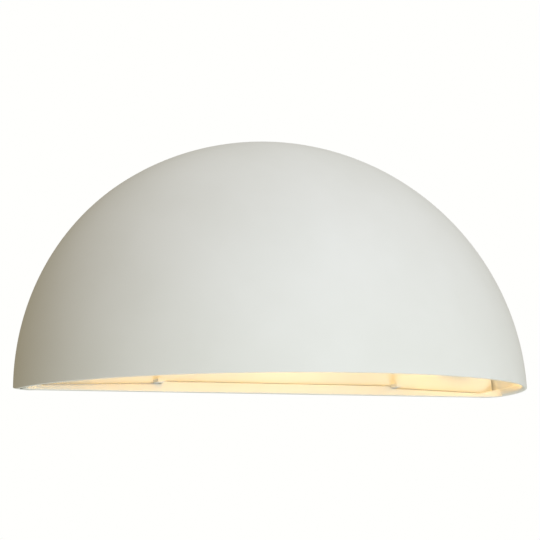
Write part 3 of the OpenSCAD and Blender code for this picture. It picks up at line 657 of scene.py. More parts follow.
@dataclass
class ShadeCasting:
    """The die-cast half dome with its rim band, back rail and two ears."""

    half_width: float
    depth: float
    height: float
    rim: float
    wall: float = 2.0 * MM
    gap: float = 0.5 * MM
    band_height: float = 3.6 * MM
    band_depth: float = 2.6 * MM
    rim_edge: float = 0.4 * MM
    rim_round: float = 1.9 * MM
    rim_lead: float = 3.0 * MM
    band_edge: float = 0.3 * MM
    wall_edge: float = 1.0 * MM
    corner_extra: float = 8.0 * MM
    corner_fade: float = 1.0 * MM
    inner_edge: float = 0.3 * MM
    rail_depth: float = 4.0 * MM
    rail_rise: float = 1.0 * MM
    rail_half: float = 62.0 * MM
    rail_end_height: float = 1.6 * MM
    rail_edge: float = 0.5 * MM
    rail_fillet: float = 8.0 * MM
    rail_step: float = 1.2 * MM
    rail_tuck: float = 0.6 * MM
    ear_in: float = 26.0 * MM
    ear_out: float = 16.0 * MM
    ear_low: float = 20.65 * MM
    ear_thick: float = 3.0 * MM
    ear_reach: float = 10.0 * MM
    ear_bore: float = 2.8 * MM
    guide_inner: float = 4.2 * MM
    guide_thick: float = 2.0 * MM
    guide_height: float = 6.1 * MM
    guide_half: float = 5.0 * MM
    hair: float = 0.1 * MM
    hidden: float = 0.02 * MM
    dome_rows: int = 80
    round_cols: int = 181
    edge_steps: int = 6

    def corner(self, height: Array) -> Array:
        """Radius of the back corner at a height over the rim: large at the rim, and soon only the edge's."""
        return self.wall_edge + self.corner_extra * np.clip(1 - height / self.corner_fade, 0, 1) ** 2

    def section(self) -> tuple[Array, Array, Array]:
        """The upright section of the wall, from the outer top round the rim to the inner top.

        The outside is a quarter ellipse, height = h sin(angle). The rim's outer edge is a quarter circle
        and its inner edge an upright quarter ellipse. The inside is the same ellipse as the outside, drawn
        in by the wall. Over the band, each row outside has a row inside at its own height, so the back edge
        can't fold.

        Returns:
            Inset from the outer ellipse, height above the rim, and which rows belong to the rim.
        """
        quarter = math.pi / 2
        turn, lead = (np.linspace(0, quarter, n * self.edge_steps + 1) for n in (1, 2))
        e, i, f, w, b = self.rim_edge, self.rim_round, self.band_edge, self.wall, self.band_depth
        top, low = self.band_height + f, self.height - w
        outer = self.height * np.sin(np.linspace(quarter, math.asin(top / self.height), self.dome_rows))
        inner = low * np.sin(np.linspace(math.asin(top / low), quarter, self.dome_rows))
        within = np.concatenate([
            np.column_stack([b - i + i * np.sin(lead), self.rim_lead * (1 - np.cos(lead))]),
            np.column_stack([b - f * (1 - np.cos(turn)), self.band_height - f * (1 - np.sin(turn))]),
            np.column_stack([w + f * (1 - np.sin(turn)), self.band_height + f * (1 - np.cos(turn))])[:-1],
        ])
        level = within[::-1, 1]
        round_off = e - np.sqrt(e**2 - np.clip(e - level, 0, e) ** 2)
        flat = np.column_stack([np.linspace(e, b - i, 5), np.zeros(5)])[1:-1]
        rim = np.concatenate([np.column_stack([round_off, level]), flat, within])
        inset = np.concatenate([0 * outer, rim[:, 0], 0 * inner + w])
        height = np.concatenate([outer, rim[:, 1], inner])
        in_rim = np.concatenate([0 * outer, 1 + 0 * rim[:, 0], 0 * inner]) > 0
        return inset, height, in_rim

    def dome(self) -> Skin:
        """The wall of the shade: the section, carried round half an oval.

        Each row runs from one side to the other as x = A cos(turn), y = -(gap + base) - D sin(turn), with A
        and D the half axes of the ellipsoid at that height, less the inset. At the wall both ends close
        over the edge's radius, which grows from the base to the rounded corner towards the rim. The band's
        inside follows the corner, and higher up it has a small edge of its own. Rows on the outside pair
        with rows on the inside to close the back edge, and a hair between rows keeps them apart where the
        corner cuts through the wall.

        Returns:
            The closed skin.
        """
        inset, height, in_rim = self.section()
        middle = len(inset) // 2
        share = np.sqrt(np.clip(1 - (height / (self.height - np.where(in_rim, 0, inset))) ** 2, 0, 1))
        half_x, half_y = (self.half_width - inset) * share, (self.depth - inset) * share
        corner = self.corner(height)
        outside = np.arange(len(inset)) < self.dome_rows
        apart = self.hair * np.arange(len(inset)) / len(inset)
        within = np.where(in_rim, np.maximum(corner - inset + apart, -self.inner_edge), -self.inner_edge)
        signed = np.where(outside, corner, within)
        edge = np.abs(signed)
        slope = np.gradient(np.column_stack([half_x, height]), axis=0)
        slope /= np.maximum(np.linalg.norm(slope, axis=1, keepdims=True), TINY)
        slope[0], slope[-1] = (1, 0), (-1, 0)  # level at the very top, so both ends meet there
        inward = np.column_stack([slope[:, 1], -slope[:, 0]])
        inward[in_rim] = np.column_stack([-np.sign(signed), 0 * signed])[in_rim]
        base = np.minimum(edge, self.wall_edge)
        reach = half_y * (1 - (self.gap + base) / self.depth)
        first = np.arcsin(np.clip((edge - base) / np.maximum(reach, TINY), 0, 1))
        start_x = half_x * np.cos(first)
        bend = np.linspace(math.pi / 2, 0, self.edge_steps)[:-1]
        end_x = start_x[:, None] + inward[:, :1] * edge[:, None] * (1 - np.cos(bend))
        end_z = height[:, None] + inward[:, 1:] * edge[:, None] * (1 - np.cos(bend))
        end_y = -self.gap - edge[:, None] * (1 - np.sin(bend))
        turn = first[:, None] + (math.pi - 2 * first[:, None]) * np.linspace(0, 1, self.round_cols)
        main_x = half_x[:, None] * np.cos(turn)
        main_y = -(self.gap + base)[:, None] - reach[:, None] * np.sin(turn)
        main_z = height[:, None] + 0 * turn
        grid = np.stack([
            np.hstack([end_x, main_x, -end_x[:, ::-1]]),
            np.hstack([end_y, main_y, end_y[:, ::-1]]),
            self.rim + np.hstack([end_z, main_z, end_z[:, ::-1]]),
        ], -1)
        skin = Skin.over(grid)
        rows, cols = grid.shape[:2]
        k = np.arange(middle - 1 + rows % 2)
        for col in (0, cols - 1):
            partner = rows - 1 - k
            back = np.column_stack([k, k + 1, partner - 1, partner]) * cols + col
            # The face in the middle has three corners
            skin.faces += [list(dict.fromkeys(face)) for face in back.tolist()]
        return skin

    def rail(self) -> Skin:
        """The back rail: a rounded bar along the wall, whose height and depth change along it.

        Its middle is higher by the rise, with a smooth step at both ends of it. From there its top slopes
        down towards the corners. Over the last stretch it climbs back to the band's height, its front
        swells in a quarter circle, depth + R - sqrt(R^2 - past^2), and its back follows the rounded corner
        from inside.

        Returns:
            The closed skin.
        """
        inner = self.half_width - self.band_depth
        end, start = inner - 0.2 * MM, inner - self.rail_fillet
        bar = np.linspace(-end, end, 401)
        step = np.linspace(-1, 1, 13) * self.rail_step
        x = np.unique(np.concatenate([bar, step - self.rail_half, step + self.rail_half]))
        aside = np.abs(x)
        away = np.clip((aside - self.rail_half) / (end - self.rail_half), 0, 1)
        rise = np.clip((self.rail_half - aside) / self.rail_step + 0.5, 0, 1)
        past = np.clip(aside - start, 0, self.rail_fillet)
        climb = np.clip((aside - start) / self.rail_fillet + 0.5, 0, 1.5) / 1.5
        tall = self.band_height + (self.rail_end_height - self.band_height) * away
        tall += (self.band_height - 0.05 * MM - tall) * climb**2 * (3 - 2 * climb)
        tall += self.rail_rise * rise**2 * (3 - 2 * rise)
        front = self.gap + self.rail_depth + self.rail_fillet - np.sqrt(self.rail_fillet**2 - past**2)
        square = np.array([(0.0, 0.0), (1.0, 0.0), (1.0, 1.0), (0.0, 1.0)])
        loop = rounded(square, self.rail_edge)
        share = np.repeat(square, len(loop) // len(square), axis=0)
        # More points on the back, away from its two edges, so that it can follow the rounded corner
        behind = np.column_stack([np.zeros(7), np.linspace(0.65, 0.35, 7)])
        offset = np.concatenate([loop - share, 0 * behind])
        share = np.concatenate([share, behind])
        z = self.hidden + share[:, 1] * tall[:, None] + offset[:, 1]
        corner = self.corner(z)
        turned = np.clip(aside[:, None] - (self.half_width - corner), 0, 0.95 * corner)
        inside = np.clip((aside - 0.94 * self.half_width) / (3 * MM), 0, 1) * self.rail_tuck
        back = self.gap + self.hidden + inside[:, None] + corner - np.sqrt(corner**2 - turned**2)
        y = -(back + share[:, 0] * (front[:, None] - back) + offset[:, 0])
        return Skin.over(np.stack([x[:, None] + 0 * y, y, self.rim + z], -1), wrap_cols=True, capped=True)

    def ear(self, side: int) -> list[Skin]:
        """One ear with its screw hole and the two walls that guide the square nut.

        Its outer end follows the middle of the dome's wall: x = a sqrt(1 - (y / d)^2 - (z / h)^2).

        Args:
            side: -1 at the left and 1 at the right.

        Returns:
            The skins.
        """
        centre = self.half_width - self.ear_in
        half = self.wall / 2
        y = np.linspace(-self.ear_reach, self.ear_reach, 17)
        level = self.ear_low + self.ear_thick / 2
        bulge = 1 - ((y - self.ear_out) / (self.depth - half)) ** 2 - (level / (self.height - half)) ** 2
        far = (self.half_width - half) * np.sqrt(bulge) - centre
        r, cut = self.ear_reach, 2 * MM
        near = [(cut - r, r), (-r, r), (-r, -r), (cut - r, -r)]
        near_x, near_y = rounded(near, cut, closed=False).T
        top = np.linspace(2 * r, cut - r, 15)[:-1]
        low = top[::-1]
        outline = np.column_stack([
            np.concatenate([far, np.minimum(top, far[-1]), near_x, np.minimum(low, far[0])]),
            np.concatenate([y, 0 * top + r, near_y, 0 * low - r]),
        ])
        keep = np.linalg.norm(outline - np.roll(outline, 1, 0), axis=1) > 1e-6
        top_z = self.ear_low + self.ear_thick
        plate = holed_plate(outline[keep], self.ear_bore, self.ear_low, top_z, 0.4 * MM)
        half_y, sunk, high = self.guide_half, top_z - 0.5 * MM, top_z + self.guide_height
        guides = [
            soft_block((start, -half_y, sunk), (start + self.guide_thick, half_y, high), 0.3 * MM)
            for start in (self.guide_inner, -self.guide_inner - self.guide_thick)
        ]
        flip = np.diag([side, 1, 1])
        return [skin.moved(flip, (side * centre, -self.ear_out, self.rim)) for skin in [plate, *guides]]

    def build(self) -> None:
        """Makes the shade."""
        skins = [self.dome(), self.rail(), *self.ear(-1), *self.ear(1)]
        piece("shade_casting", skins, POWDER_COAT, "shade", "shade", 46.0)
        edged("screw_washers", TURNED_STEEL, 0.12)


@dataclass
class ClampScrew:
    """A captive knurled screw that clamps one ear of the shade, with its nut and snap ring."""

    side: str
    x: float
    rim: float
    out: float = 16.0 * MM
    head_top: float = 17.85 * MM
    head_height: float = 7.5 * MM
    head_radius: float = 6.0 * MM
    chamfer: float = 0.8 * MM
    ridges: int = 28
    ridge_depth: float = 0.5 * MM
    radius: float = 2.5 * MM
    pitch: float = 0.8 * MM
    thread: float = 0.38 * MM
    groove_low: float = 29.25 * MM
    groove: float = 0.8 * MM
    groove_radius: float = 1.9 * MM
    tip: float = 31.05 * MM

    def head(self) -> Skin:
        """The knurled head, with a shallow round recess below.

        It is a turned profile whose radius dips between the ridges: by ridge depth times
        (1 - cos(ridges times angle)) / 2. The dip fades out over both chamfers.

        Returns:
            The closed skin.
        """
        r, c, top = self.head_radius, self.chamfer, self.head_top
        low, recess = top - self.head_height, 0.4 * MM
        # Radius, height and the share of the ridges
        rows = np.array([
            (0, low + recess, 0), (r * 0.62, low + recess, 0),
            (r * 0.68, low + 0.1 * MM, 0), (r * 0.72, low, 0),
            (r - c - 0.2 * MM, low, 0), (r - c * 0.6, low + c * 0.4, 0.2), (r, low + c, 1),
            (r, low + 1.4 * c, 1), (r, top - 1.4 * c, 1), (r, top - c, 1), (r - c * 0.6, top - c * 0.4, 0.2),
            (r - c - 0.2 * MM, top, 0), (0, top, 0),
        ])
        angle = full_turn(self.ridges * 8)
        dip = self.ridge_depth * (1 - np.cos(self.ridges * angle)) / 2
        radius = np.maximum(rows[:, :1] - rows[:, 2:] * dip, 0)
        return Skin.over(rings(radius, rows[:, 1:2], angle), wrap_cols=True)

    def shank(self) -> Skin:
        """The threaded shank, with a plain groove for the snap ring and a coned tip.

        Returns:
            The closed skin.
        """
        z = np.arange(self.head_top - 0.2 * MM, self.tip, self.pitch / 8)
        angle = full_turn(40)
        radius = self.radius - self.thread * thread_depth(z, self.pitch, angle)
        play = 0.05 * MM
        in_groove = (z > self.groove_low - play) & (z < self.groove_low + self.groove + play)
        radius[in_groove] = self.groove_radius - play
        cone = np.clip((self.tip - z) / (0.5 * MM), 0, 1)[:, None]
        radius = np.minimum(radius, self.radius - 0.6 * MM * (1 - cone))
        return Skin.over(rings(radius, z[:, None], angle), wrap_cols=True, capped=True)

    def build(self) -> None:
        """Makes the knob with its screw, and finishes the ring and the nut."""
        skins = [skin.moved(UPRIGHT, (self.x, -self.out, self.rim)) for skin in (self.head(), self.shank())]
        name, body, node = (f"{self.side}_{part}" for part in ("knurled_screw", "screw", "knob"))
        piece(name, skins, TURNED_STEEL, body, node, CAD_SHARP_DEG)
        edged(f"{self.side}_retaining_ring", TURNED_STEEL, 0.1)
        edged(f"{self.side}_square_nut", ZINC_PLATE, 0.25)


# ---- Wall plate ----


@dataclass
class WallUnit:
    """The wall plate with its foam seal and cable grommet."""

    rim: float
    entry_x: float = -20.0 * MM
    entry_height: float = 92.0 * MM
    entry_from: float = 0.2 * MM
    bore: float = 4.5 * MM
    hole: float = 9.0 * MM
    lip: float = 2.5 * MM
    lip_thick: float = 1.8 * MM
    plate_thick: float = 1.5 * MM
    nose: float = 1.5 * MM
    nose_wall: float = 1.2 * MM

    def grommet(self) -> Skin:
        """The grommet: two lips that hold the plate's edge between them, and a soft nose round the bore.

        Returns:
            The closed skin, turned from a rounded profile.
        """
        far = 2 * self.lip_thick + self.plate_thick
        wide = self.hole + self.lip
        profile = rounded([
            (self.bore, 0), (wide, 0), (wide, self.lip_thick), (self.hole, self.lip_thick),
            (self.hole, self.lip_thick + self.plate_thick), (wide, self.lip_thick + self.plate_thick),
            (wide - 1 * MM, far), (self.bore + self.nose_wall, far + self.nose), (self.bore, far + self.nose),
        ], 0.6 * MM)
        place = self.entry_x, -self.entry_from, self.rim + self.entry_height
        return lathe(profile).moved(OUT_OF_WALL, place)

    def build(self) -> None:
        """Makes the three pieces."""
        edged("wall_plate", COATED_SHEET, 0.3)
        edged("wall_gasket", EPDM_FOAM, 0.4)
        piece("moulded_grommet", [self.grommet()], MOULDED_RUBBER, "wall_unit", "cable_grommet")


# ---- Lamp and lampholder ----


@dataclass
class LampAxis:
    """Where the lamp lies: distances along its axis are counted from its contact's tip."""

    contact_x: float = -63.0 * MM
    out: float = 40.0 * MM
    height: float = 42.0 * MM
    pitch: float = 3.62 * MM
    root: float = 12.2 * MM
    depth: float = 0.9 * MM

    def lay(self, skin: Skin, rim: float) -> Skin:
        """Lays a skin drawn along local Z on the lamp's axis."""
        return skin.moved(ALONG_WALL, (self.contact_x, -self.out, rim + self.height))

    def thread(self, z: Array, root: float, start: float, stop: float, female: bool) -> Array:
        """Rows of the rounded thread: radius = root + depth (1 + cos(2 pi z / pitch - angle)) / 2.

        Over half a turn at both ends the ridges sink to the root, or in a female thread the root rises to
        the ridges.

        Args:
            z: place of each row along the axis.
            root: radius at the bottom of the thread.
            start: where the thread starts.
            stop: where the thread stops.
            female: whether it is the holder's thread.

        Returns:
            The rows of points.
        """
        angle = full_turn(AROUND)
        sunk = thread_depth(z, self.pitch, angle)
        share = np.clip(np.minimum(2 * (z - start), 2 * (stop - z)) / self.pitch, 0, 1)[:, None]
        radius = root + self.depth * (1 - share * sunk if female else share * (1 - sunk))
        return rings(radius, z[:, None], angle)

    def plain(self, rows: list[tuple[float, float]]) -> Array:
        """Plain rings to go with the thread's rows, from the radius and place of each ring."""
        r, z = np.asarray(rows, float).T[:, :, None]
        return rings(r, z, full_turn(AROUND))


@dataclass
class Lampholder:
    """The porcelain holder with its brass screw shell, on a bent steel bracket."""

    axis: LampAxis
    rim: float
    base_radius: float = 17.1 * MM
    base_back: float = -19.0 * MM
    base_mouth: float = 5.0 * MM
    floor: float = -4.0 * MM
    shoulder: float = 4.0 * MM
    shell_radius: float = 14.2 * MM
    shell_from: float = -1.0 * MM
    shell_to: float = 16.46 * MM
    relief_to: float = 2.0 * MM
    thread_gap: float = 0.4 * MM
    skirt_radius: float = 19.5 * MM
    skirt_from: float = -2.0 * MM
    skirt_reach: float = 23.0 * MM
    nipple_radius: float = 5.0 * MM
    nipple_bore: float = 3.6 * MM
    nipple_from: float = -26.5 * MM
    nipple_to: float = -11.0 * MM
    nipple_pitch: float = 1.0 * MM
    nipple_depth: float = 0.5 * MM

    def base(self) -> Skin:
        """The base: a thick cup with a rounded shoulder and the nipple's seat, turned from a profile.

        Returns:
            The closed skin.
        """
        r = self.base_radius
        return lathe(rounded([
            (self.nipple_radius, self.base_back), (r - self.shoulder, self.base_back),
            (r, self.base_back + self.shoulder), (r, self.base_mouth), (self.shell_radius, self.base_mouth),
            (self.shell_radius, self.floor), (self.nipple_bore, self.floor),
            (self.nipple_bore, self.nipple_to),
            (self.nipple_radius, self.nipple_to),
        ], 0.9 * MM))

    def skirt(self) -> Skin:
        """The skirt: a ring with two shallow grip grooves and a rounded mouth, turned from a profile.

        Returns:
            The closed skin.
        """
        r, groove, bore = self.skirt_radius, 0.35 * MM, self.shell_radius + 0.4 * MM
        inner = self.base_radius + 0.1 * MM
        sides = [(r, self.skirt_from)]
        for start in (3 * MM, 7 * MM):
            sides += [(r, start), (r - groove, start + 0.6 * MM)]
            sides += [(r - groove, start + 1.4 * MM), (r, start + 2 * MM)]
        return lathe(rounded([
            (inner, self.skirt_from), *sides,
            (r, self.skirt_reach - 1.2 * MM), (r - 1.2 * MM, self.skirt_reach),
            (bore + 1.2 * MM, self.skirt_reach), (bore, self.skirt_reach - 1.2 * MM),
            (bore, self.base_mouth + 0.1 * MM), (inner, self.base_mouth + 0.1 * MM),
        ], 0.7 * MM))

    def shell(self) -> Skin:
        """The screw shell: the thread inside, a plain drum outside and a plain ring below.

        Returns:
            The closed skin.
        """
        root = self.axis.root + self.thread_gap
        z = np.linspace(self.shell_to, self.relief_to, 60)
        inside = self.axis.thread(z, root, self.relief_to, self.shell_to, True)
        drum = self.axis.plain([(self.shell_radius, self.shell_from), (self.shell_radius, self.shell_to)])
        low = self.axis.plain([(root + self.axis.depth, self.shell_from)])
        return Skin.over(np.concatenate([drum, inside, low]), wrap_rows=True, wrap_cols=True)

    def nipple(self) -> Skin:
        """The hollow nipple with its fine thread.

        Returns:
            The closed skin.
        """
        z = np.arange(self.nipple_from, self.nipple_to, self.nipple_pitch / 8)
        angle = full_turn(AROUND)
        radius = self.nipple_radius - self.nipple_depth * thread_depth(z, self.nipple_pitch, angle)
        bore = self.axis.plain([(self.nipple_bore, z[-1]), (self.nipple_bore, z[0])])
        outside = rings(radius, z[:, None], angle)
        return Skin.over(np.concatenate([outside, bore]), wrap_rows=True, wrap_cols=True)

    def build(self) -> None:
        """Makes the holder's pieces."""
        made = {
            "porcelain_base": (self.base(), GLAZED_PORCELAIN, "holder_base"),
            "porcelain_skirt": (self.skirt(), GLAZED_PORCELAIN, "holder_skirt"),
            "brass_screw_shell": (self.shell(), PRESSED_BRASS, "screw_shell"),
            "threaded_nipple": (self.nipple(), ZINC_PLATE, "holder_nipple"),
        }
        for name, (skin, finish, node) in made.items():
            piece(name, [self.axis.lay(skin, self.rim)], finish, "wall_unit", node)
        edged("holder_bracket", ZINC_PLATE, 0.2)
        edged("bracket_rivets", TURNED_STEEL, 0.3)
        edged("nipple_nut", ZINC_PLATE, 0.3)
        edged("centre_contact", PRESSED_BRASS, 0.06)


@dataclass
class Lamp:
    """The screw-cap lamp: a pearl bulb on a rolled cap, with the stem and the filament inside."""

    axis: LampAxis
    rim: float
    length: float = 105.0 * MM
    bulb: float = 30.0 * MM
    neck: float = 12.4 * MM
    blend: float = 32.0 * MM
    glass: float = 1.0 * MM
    neck_from: float = 20.0 * MM
    contact_radius: float = 4.8 * MM
    contact_thick: float = 1.2 * MM
    insulator: float = 3.8 * MM
    thread_from: float = 5.0 * MM
    thread_to: float = 15.86 * MM
    cap_to: float = 25.0 * MM
    cap_wall: float = 0.6 * MM
    sleeve: float = 13.2 * MM
    stem: float = 3.6 * MM
    stem_to: float = 47.0 * MM
    filament_at: float = 69.0 * MM
    filament_half: float = 12.0 * MM
    wire: float = 0.4 * MM
    coil: float = 0.55 * MM
    coil_wire: float = 0.11 * MM
    coil_turns: int = 44
    bow: float = 20.0 * MM

    def outline(self, inset: float) -> Array:
        """Half outline of the bulb: straight neck, a hollow arc and the ball, all tangent to each other.

        The hollow arc's centre lies outside the neck by the blend's radius, and the arcs meet on the line
        between both centres.

        Args:
            inset: how far the outline lies inside the glass's outer face.

        Returns:
            Radius and place of each point, from the neck to the tip.
        """
        ball, neck, blend = self.bulb - inset, self.neck - inset, self.blend + inset
        middle = self.length - self.bulb
        start = middle - math.sqrt((ball + blend) ** 2 - (neck + blend) ** 2)
        meet = math.asin((neck + blend) / (ball + blend))
        hollow = np.linspace(0, math.pi / 2 - meet, 20)
        round_it = np.linspace(meet, math.pi, 60)
        ball_angle = math.pi - round_it
        return np.concatenate([
            [[neck, self.neck_from]],
            np.column_stack([neck + blend * (1 - np.cos(hollow)), start + blend * np.sin(hollow)]),
            np.column_stack([ball * np.sin(ball_angle), middle + ball * np.cos(ball_angle)])[1:],
        ])

    def bulb_glass(self) -> Skin:
        """The glass: the outer outline from the tip to the neck and the inner one back."""
        walls = [self.outline(0.0)[::-1], self.outline(self.glass)]
        return lathe(np.concatenate(walls), closed=False, turns=128)

    def cap(self) -> Skin:
        """The cap: rolled thread, flared sleeve round the neck, and the bore inside.

        Returns:
            The closed skin.
        """
        bore, back = self.axis.root - self.cap_wall, self.neck_from - 0.5 * MM
        z = np.linspace(self.thread_from, self.thread_to, 60)
        outside = self.axis.thread(z, self.axis.root, self.thread_from, self.thread_to, False)
        rest = self.axis.plain([
            (self.sleeve, self.thread_to + 1.5 * MM), (self.sleeve, self.cap_to - 0.3 * MM),
            (self.sleeve - 0.2 * MM, self.cap_to), (self.neck + 0.1 * MM, self.cap_to),
            (self.neck + 0.1 * MM, back), (bore, back), (bore, self.thread_from),
        ])
        return Skin.over(np.concatenate([outside, rest]), wrap_rows=True, wrap_cols=True)

    def end_pieces(self) -> tuple[Skin, Skin]:
        """The soldered contact, domed at its tip, and the glass cone between it and the cap.

        Returns:
            Both closed skins, the contact first.
        """
        r, t = self.contact_radius, self.contact_thick
        dome = [(0, 0), (r * 0.5, 0.04 * MM), (r * 0.79, 0.3 * MM), (r * 0.95, 0.8 * MM), (r, t), (0, t)]
        far, wide = t + self.insulator, self.axis.root - self.cap_wall
        cone = rounded([(0, t), (r + 1 * MM, t), (wide, far), (0, far)], 0.5 * MM, closed=False)
        return lathe(np.array(dome), closed=False), lathe(cone, closed=False)

    def stem_glass(self) -> Skin:
        """The stem: a flare that closes the neck, a slim tube and a pinched end, turned from a profile.

        Returns:
            The closed skin.
        """
        r, flare, wide = self.stem, 1.4 * MM, self.neck - self.glass
        return lathe(rounded([
            (0, self.neck_from), (wide, self.neck_from), (wide, self.neck_from + flare),
            (r + flare, self.neck_from + flare + 1 * MM), (r, self.neck_from + flare + 4 * MM),
            (r, self.stem_to - 3 * MM), (r - flare, self.stem_to), (0, self.stem_to),
        ], 0.6 * MM, closed=False), closed=False)

    def wires(self) -> list[Skin]:
        """The two support wires, from the stem's end to the ends of the filament.

        Returns:
            One closed skin for each wire.
        """
        near, inside = 1.6 * MM, self.stem_to - 1.5 * MM
        paths = [[(0, s * near, inside), (0, s * self.filament_half, self.filament_at)] for s in (-1, 1)]
        return [round_tube(np.array(path), self.wire, np.array([1.0, 0.0, 0.0]), 12) for path in paths]

    def filament(self) -> Skin:
        """The filament: a coil wound round a bow.

        The bow is an arc of a circle, (0, R sin a, R cos a); the coil turns round it as cos(turn) outwards
        plus sin(turn) sideways, and a thin wire follows the coil.

        Returns:
            The closed skin.
        """
        half = math.asin((self.filament_half - 0.2 * MM) / self.bow)
        a = np.linspace(-half, half, self.coil_turns * 16)
        turn = np.linspace(0, self.coil_turns * 2 * math.pi, len(a))[:, None]
        out = np.column_stack([0 * a, np.sin(a), np.cos(a)])
        middle = self.bow * out + [0, 0, self.filament_at + 1.1 * MM - self.bow * math.cos(half)]
        away = np.cos(turn) * out + np.sin(turn) * [1.0, 0.0, 0.0]
        return round_tube(middle + self.coil * away, self.coil_wire, away, 6)

    def build(self) -> None:
        """Makes the lamp's pieces."""
        contact, cone = self.end_pieces()
        made = {
            "soldered_contact": ([contact], SOLDERED_TIN, "lamp_base", "lamp_contact"),
            "black_glass_cone": ([cone], CAST_BLACK_GLASS, "lamp_base", "lamp_insulator"),
            "rolled_cap": ([self.cap()], ROLLED_ALUMINIUM, "lamp", "lamp_cap"),
            "pearl_bulb": ([self.bulb_glass()], PEARL_GLASS, "lamp", "lamp_glass"),
            "glass_stem": ([self.stem_glass()], DRAWN_GLASS, "lamp", "lamp_stem"),
            "support_wires": (self.wires(), DRAWN_WIRE, "lamp", "lamp_supports"),
            "coiled_filament": ([self.filament()], TUNGSTEN, "lamp", "lamp_filament"),
        }
        for name, (skins, finish, body, node) in made.items():
            piece(name, [self.axis.lay(skin, self.rim) for skin in skins], finish, body, node)


# ---- Terminals and leads ----


@dataclass
class Terminals:
    """The terminal block, the earth screw and the three leads."""

    rim: float
    lead_radius: float = 1.1 * MM
    steps: int = 10
    sides: int = 20
    # Places along the wall, away from the wall and above the rim, in millimetres
    live: tuple[Place, ...] = (
        (-73, 41.2, 42), (-81, 41.2, 42), (-90.5, 41.2, 42), (-95.5, 40.3, 42.8), (-98.5, 35.5, 45),
        (-99, 29, 49.5), (-95.5, 20, 55.5), (-84, 12, 62), (-62, 8.5, 65.5), (-36, 7.5, 68), (-8, 7.5, 70),
        (18, 7.5, 70.5), (34, 7.8, 72), (40.5, 8.5, 76.5), (43.7, 9.5, 81), (44, 9.5, 85), (44, 9.5, 89),
    )
    neutral: tuple[Place, ...] = (
        (-73, 38.8, 42), (-81, 38.8, 42), (-90, 38.8, 42.1), (-93.5, 37.4, 43.8), (-95.5, 33.2, 47.2),
        (-95.5, 28, 52.5), (-92.5, 20, 59), (-83, 12, 65.8), (-62, 8.5, 69), (-36, 7.5, 71.2), (-8, 7.5, 73),
        (12, 7.5, 73.8), (26, 7.8, 75), (33, 8.5, 78), (35.7, 9.5, 81.5), (36, 9.5, 85), (36, 9.5, 89),
    )
    earth: tuple[Place, ...] = (
        (11, 5.5, 79), (14, 5.5, 79), (17.5, 5.7, 78.6), (21.5, 7, 77.6), (25.2, 8.8, 77.8),
        (27.6, 9.5, 80.3), (28, 9.5, 84), (28, 9.5, 89),
    )

    def lead(self, name: str, route: tuple[Place, ...], finish: Finish, node: str) -> None:
        """Makes one lead as a round tube along its route, with a UV map whose U runs once round it.

        Args:
            name: the piece's name.
            route: its points.
            finish: its insulation.
            node: the CAD node that it replaces.
        """
        places = [(x * MM, -out * MM, self.rim + height * MM) for x, out, height in route]
        path = smooth_path(places, self.steps)
        sides = self.sides
        tube = round_tube(path, self.lead_radius, np.array([0.0, 1.0, -1.0]), sides)
        made = piece(name, [tube], finish, "wall_unit", node)
        mesh = made.data
        around = np.empty(len(mesh.loops), np.int32)
        mesh.loops.foreach_get("vertex_index", around)
        uv = np.column_stack([around % sides / sides, around // sides / len(path)]).astype(np.float32)
        mesh.uv_layers.new(name="round_and_along").data.foreach_set("uv", uv.ravel())

    def build(self) -> None:
        """Makes the terminals and the leads."""
        edged("terminal_block", MOULDED_POLYAMIDE, 0.25)
        for node in ("terminal_tubes", "earth_lug"):
            edged(node, PRESSED_BRASS, 0.1)
        for node in ("terminal_screws", "block_screw", "earth_screw", "earth_washer"):
            edged(node, TURNED_STEEL, 0.12)
        self.lead("brown_lead", self.live, LIVE_SILICONE, "live_lead")
        self.lead("blue_lead", self.neutral, NEUTRAL_SILICONE, "neutral_lead")
        self.lead("green_yellow_lead", self.earth, EARTH_SILICONE, "earth_lead")


# ---- Studio ----


@dataclass(frozen=True)
class Disk:
    """A soft round light that faces the shade's edge from a distance, at an angle to the right and up."""

    name: str
    right_deg: float
    up_deg: float
    away: float
    width: float
    watts: float
    colour: str


@dataclass(frozen=True)
class Glint:
    """A small light for what the white inside throws back of the lamp's: place as on the leads, and power."""

    name: str
    x: float
    out: float
    height: float
    watts: float


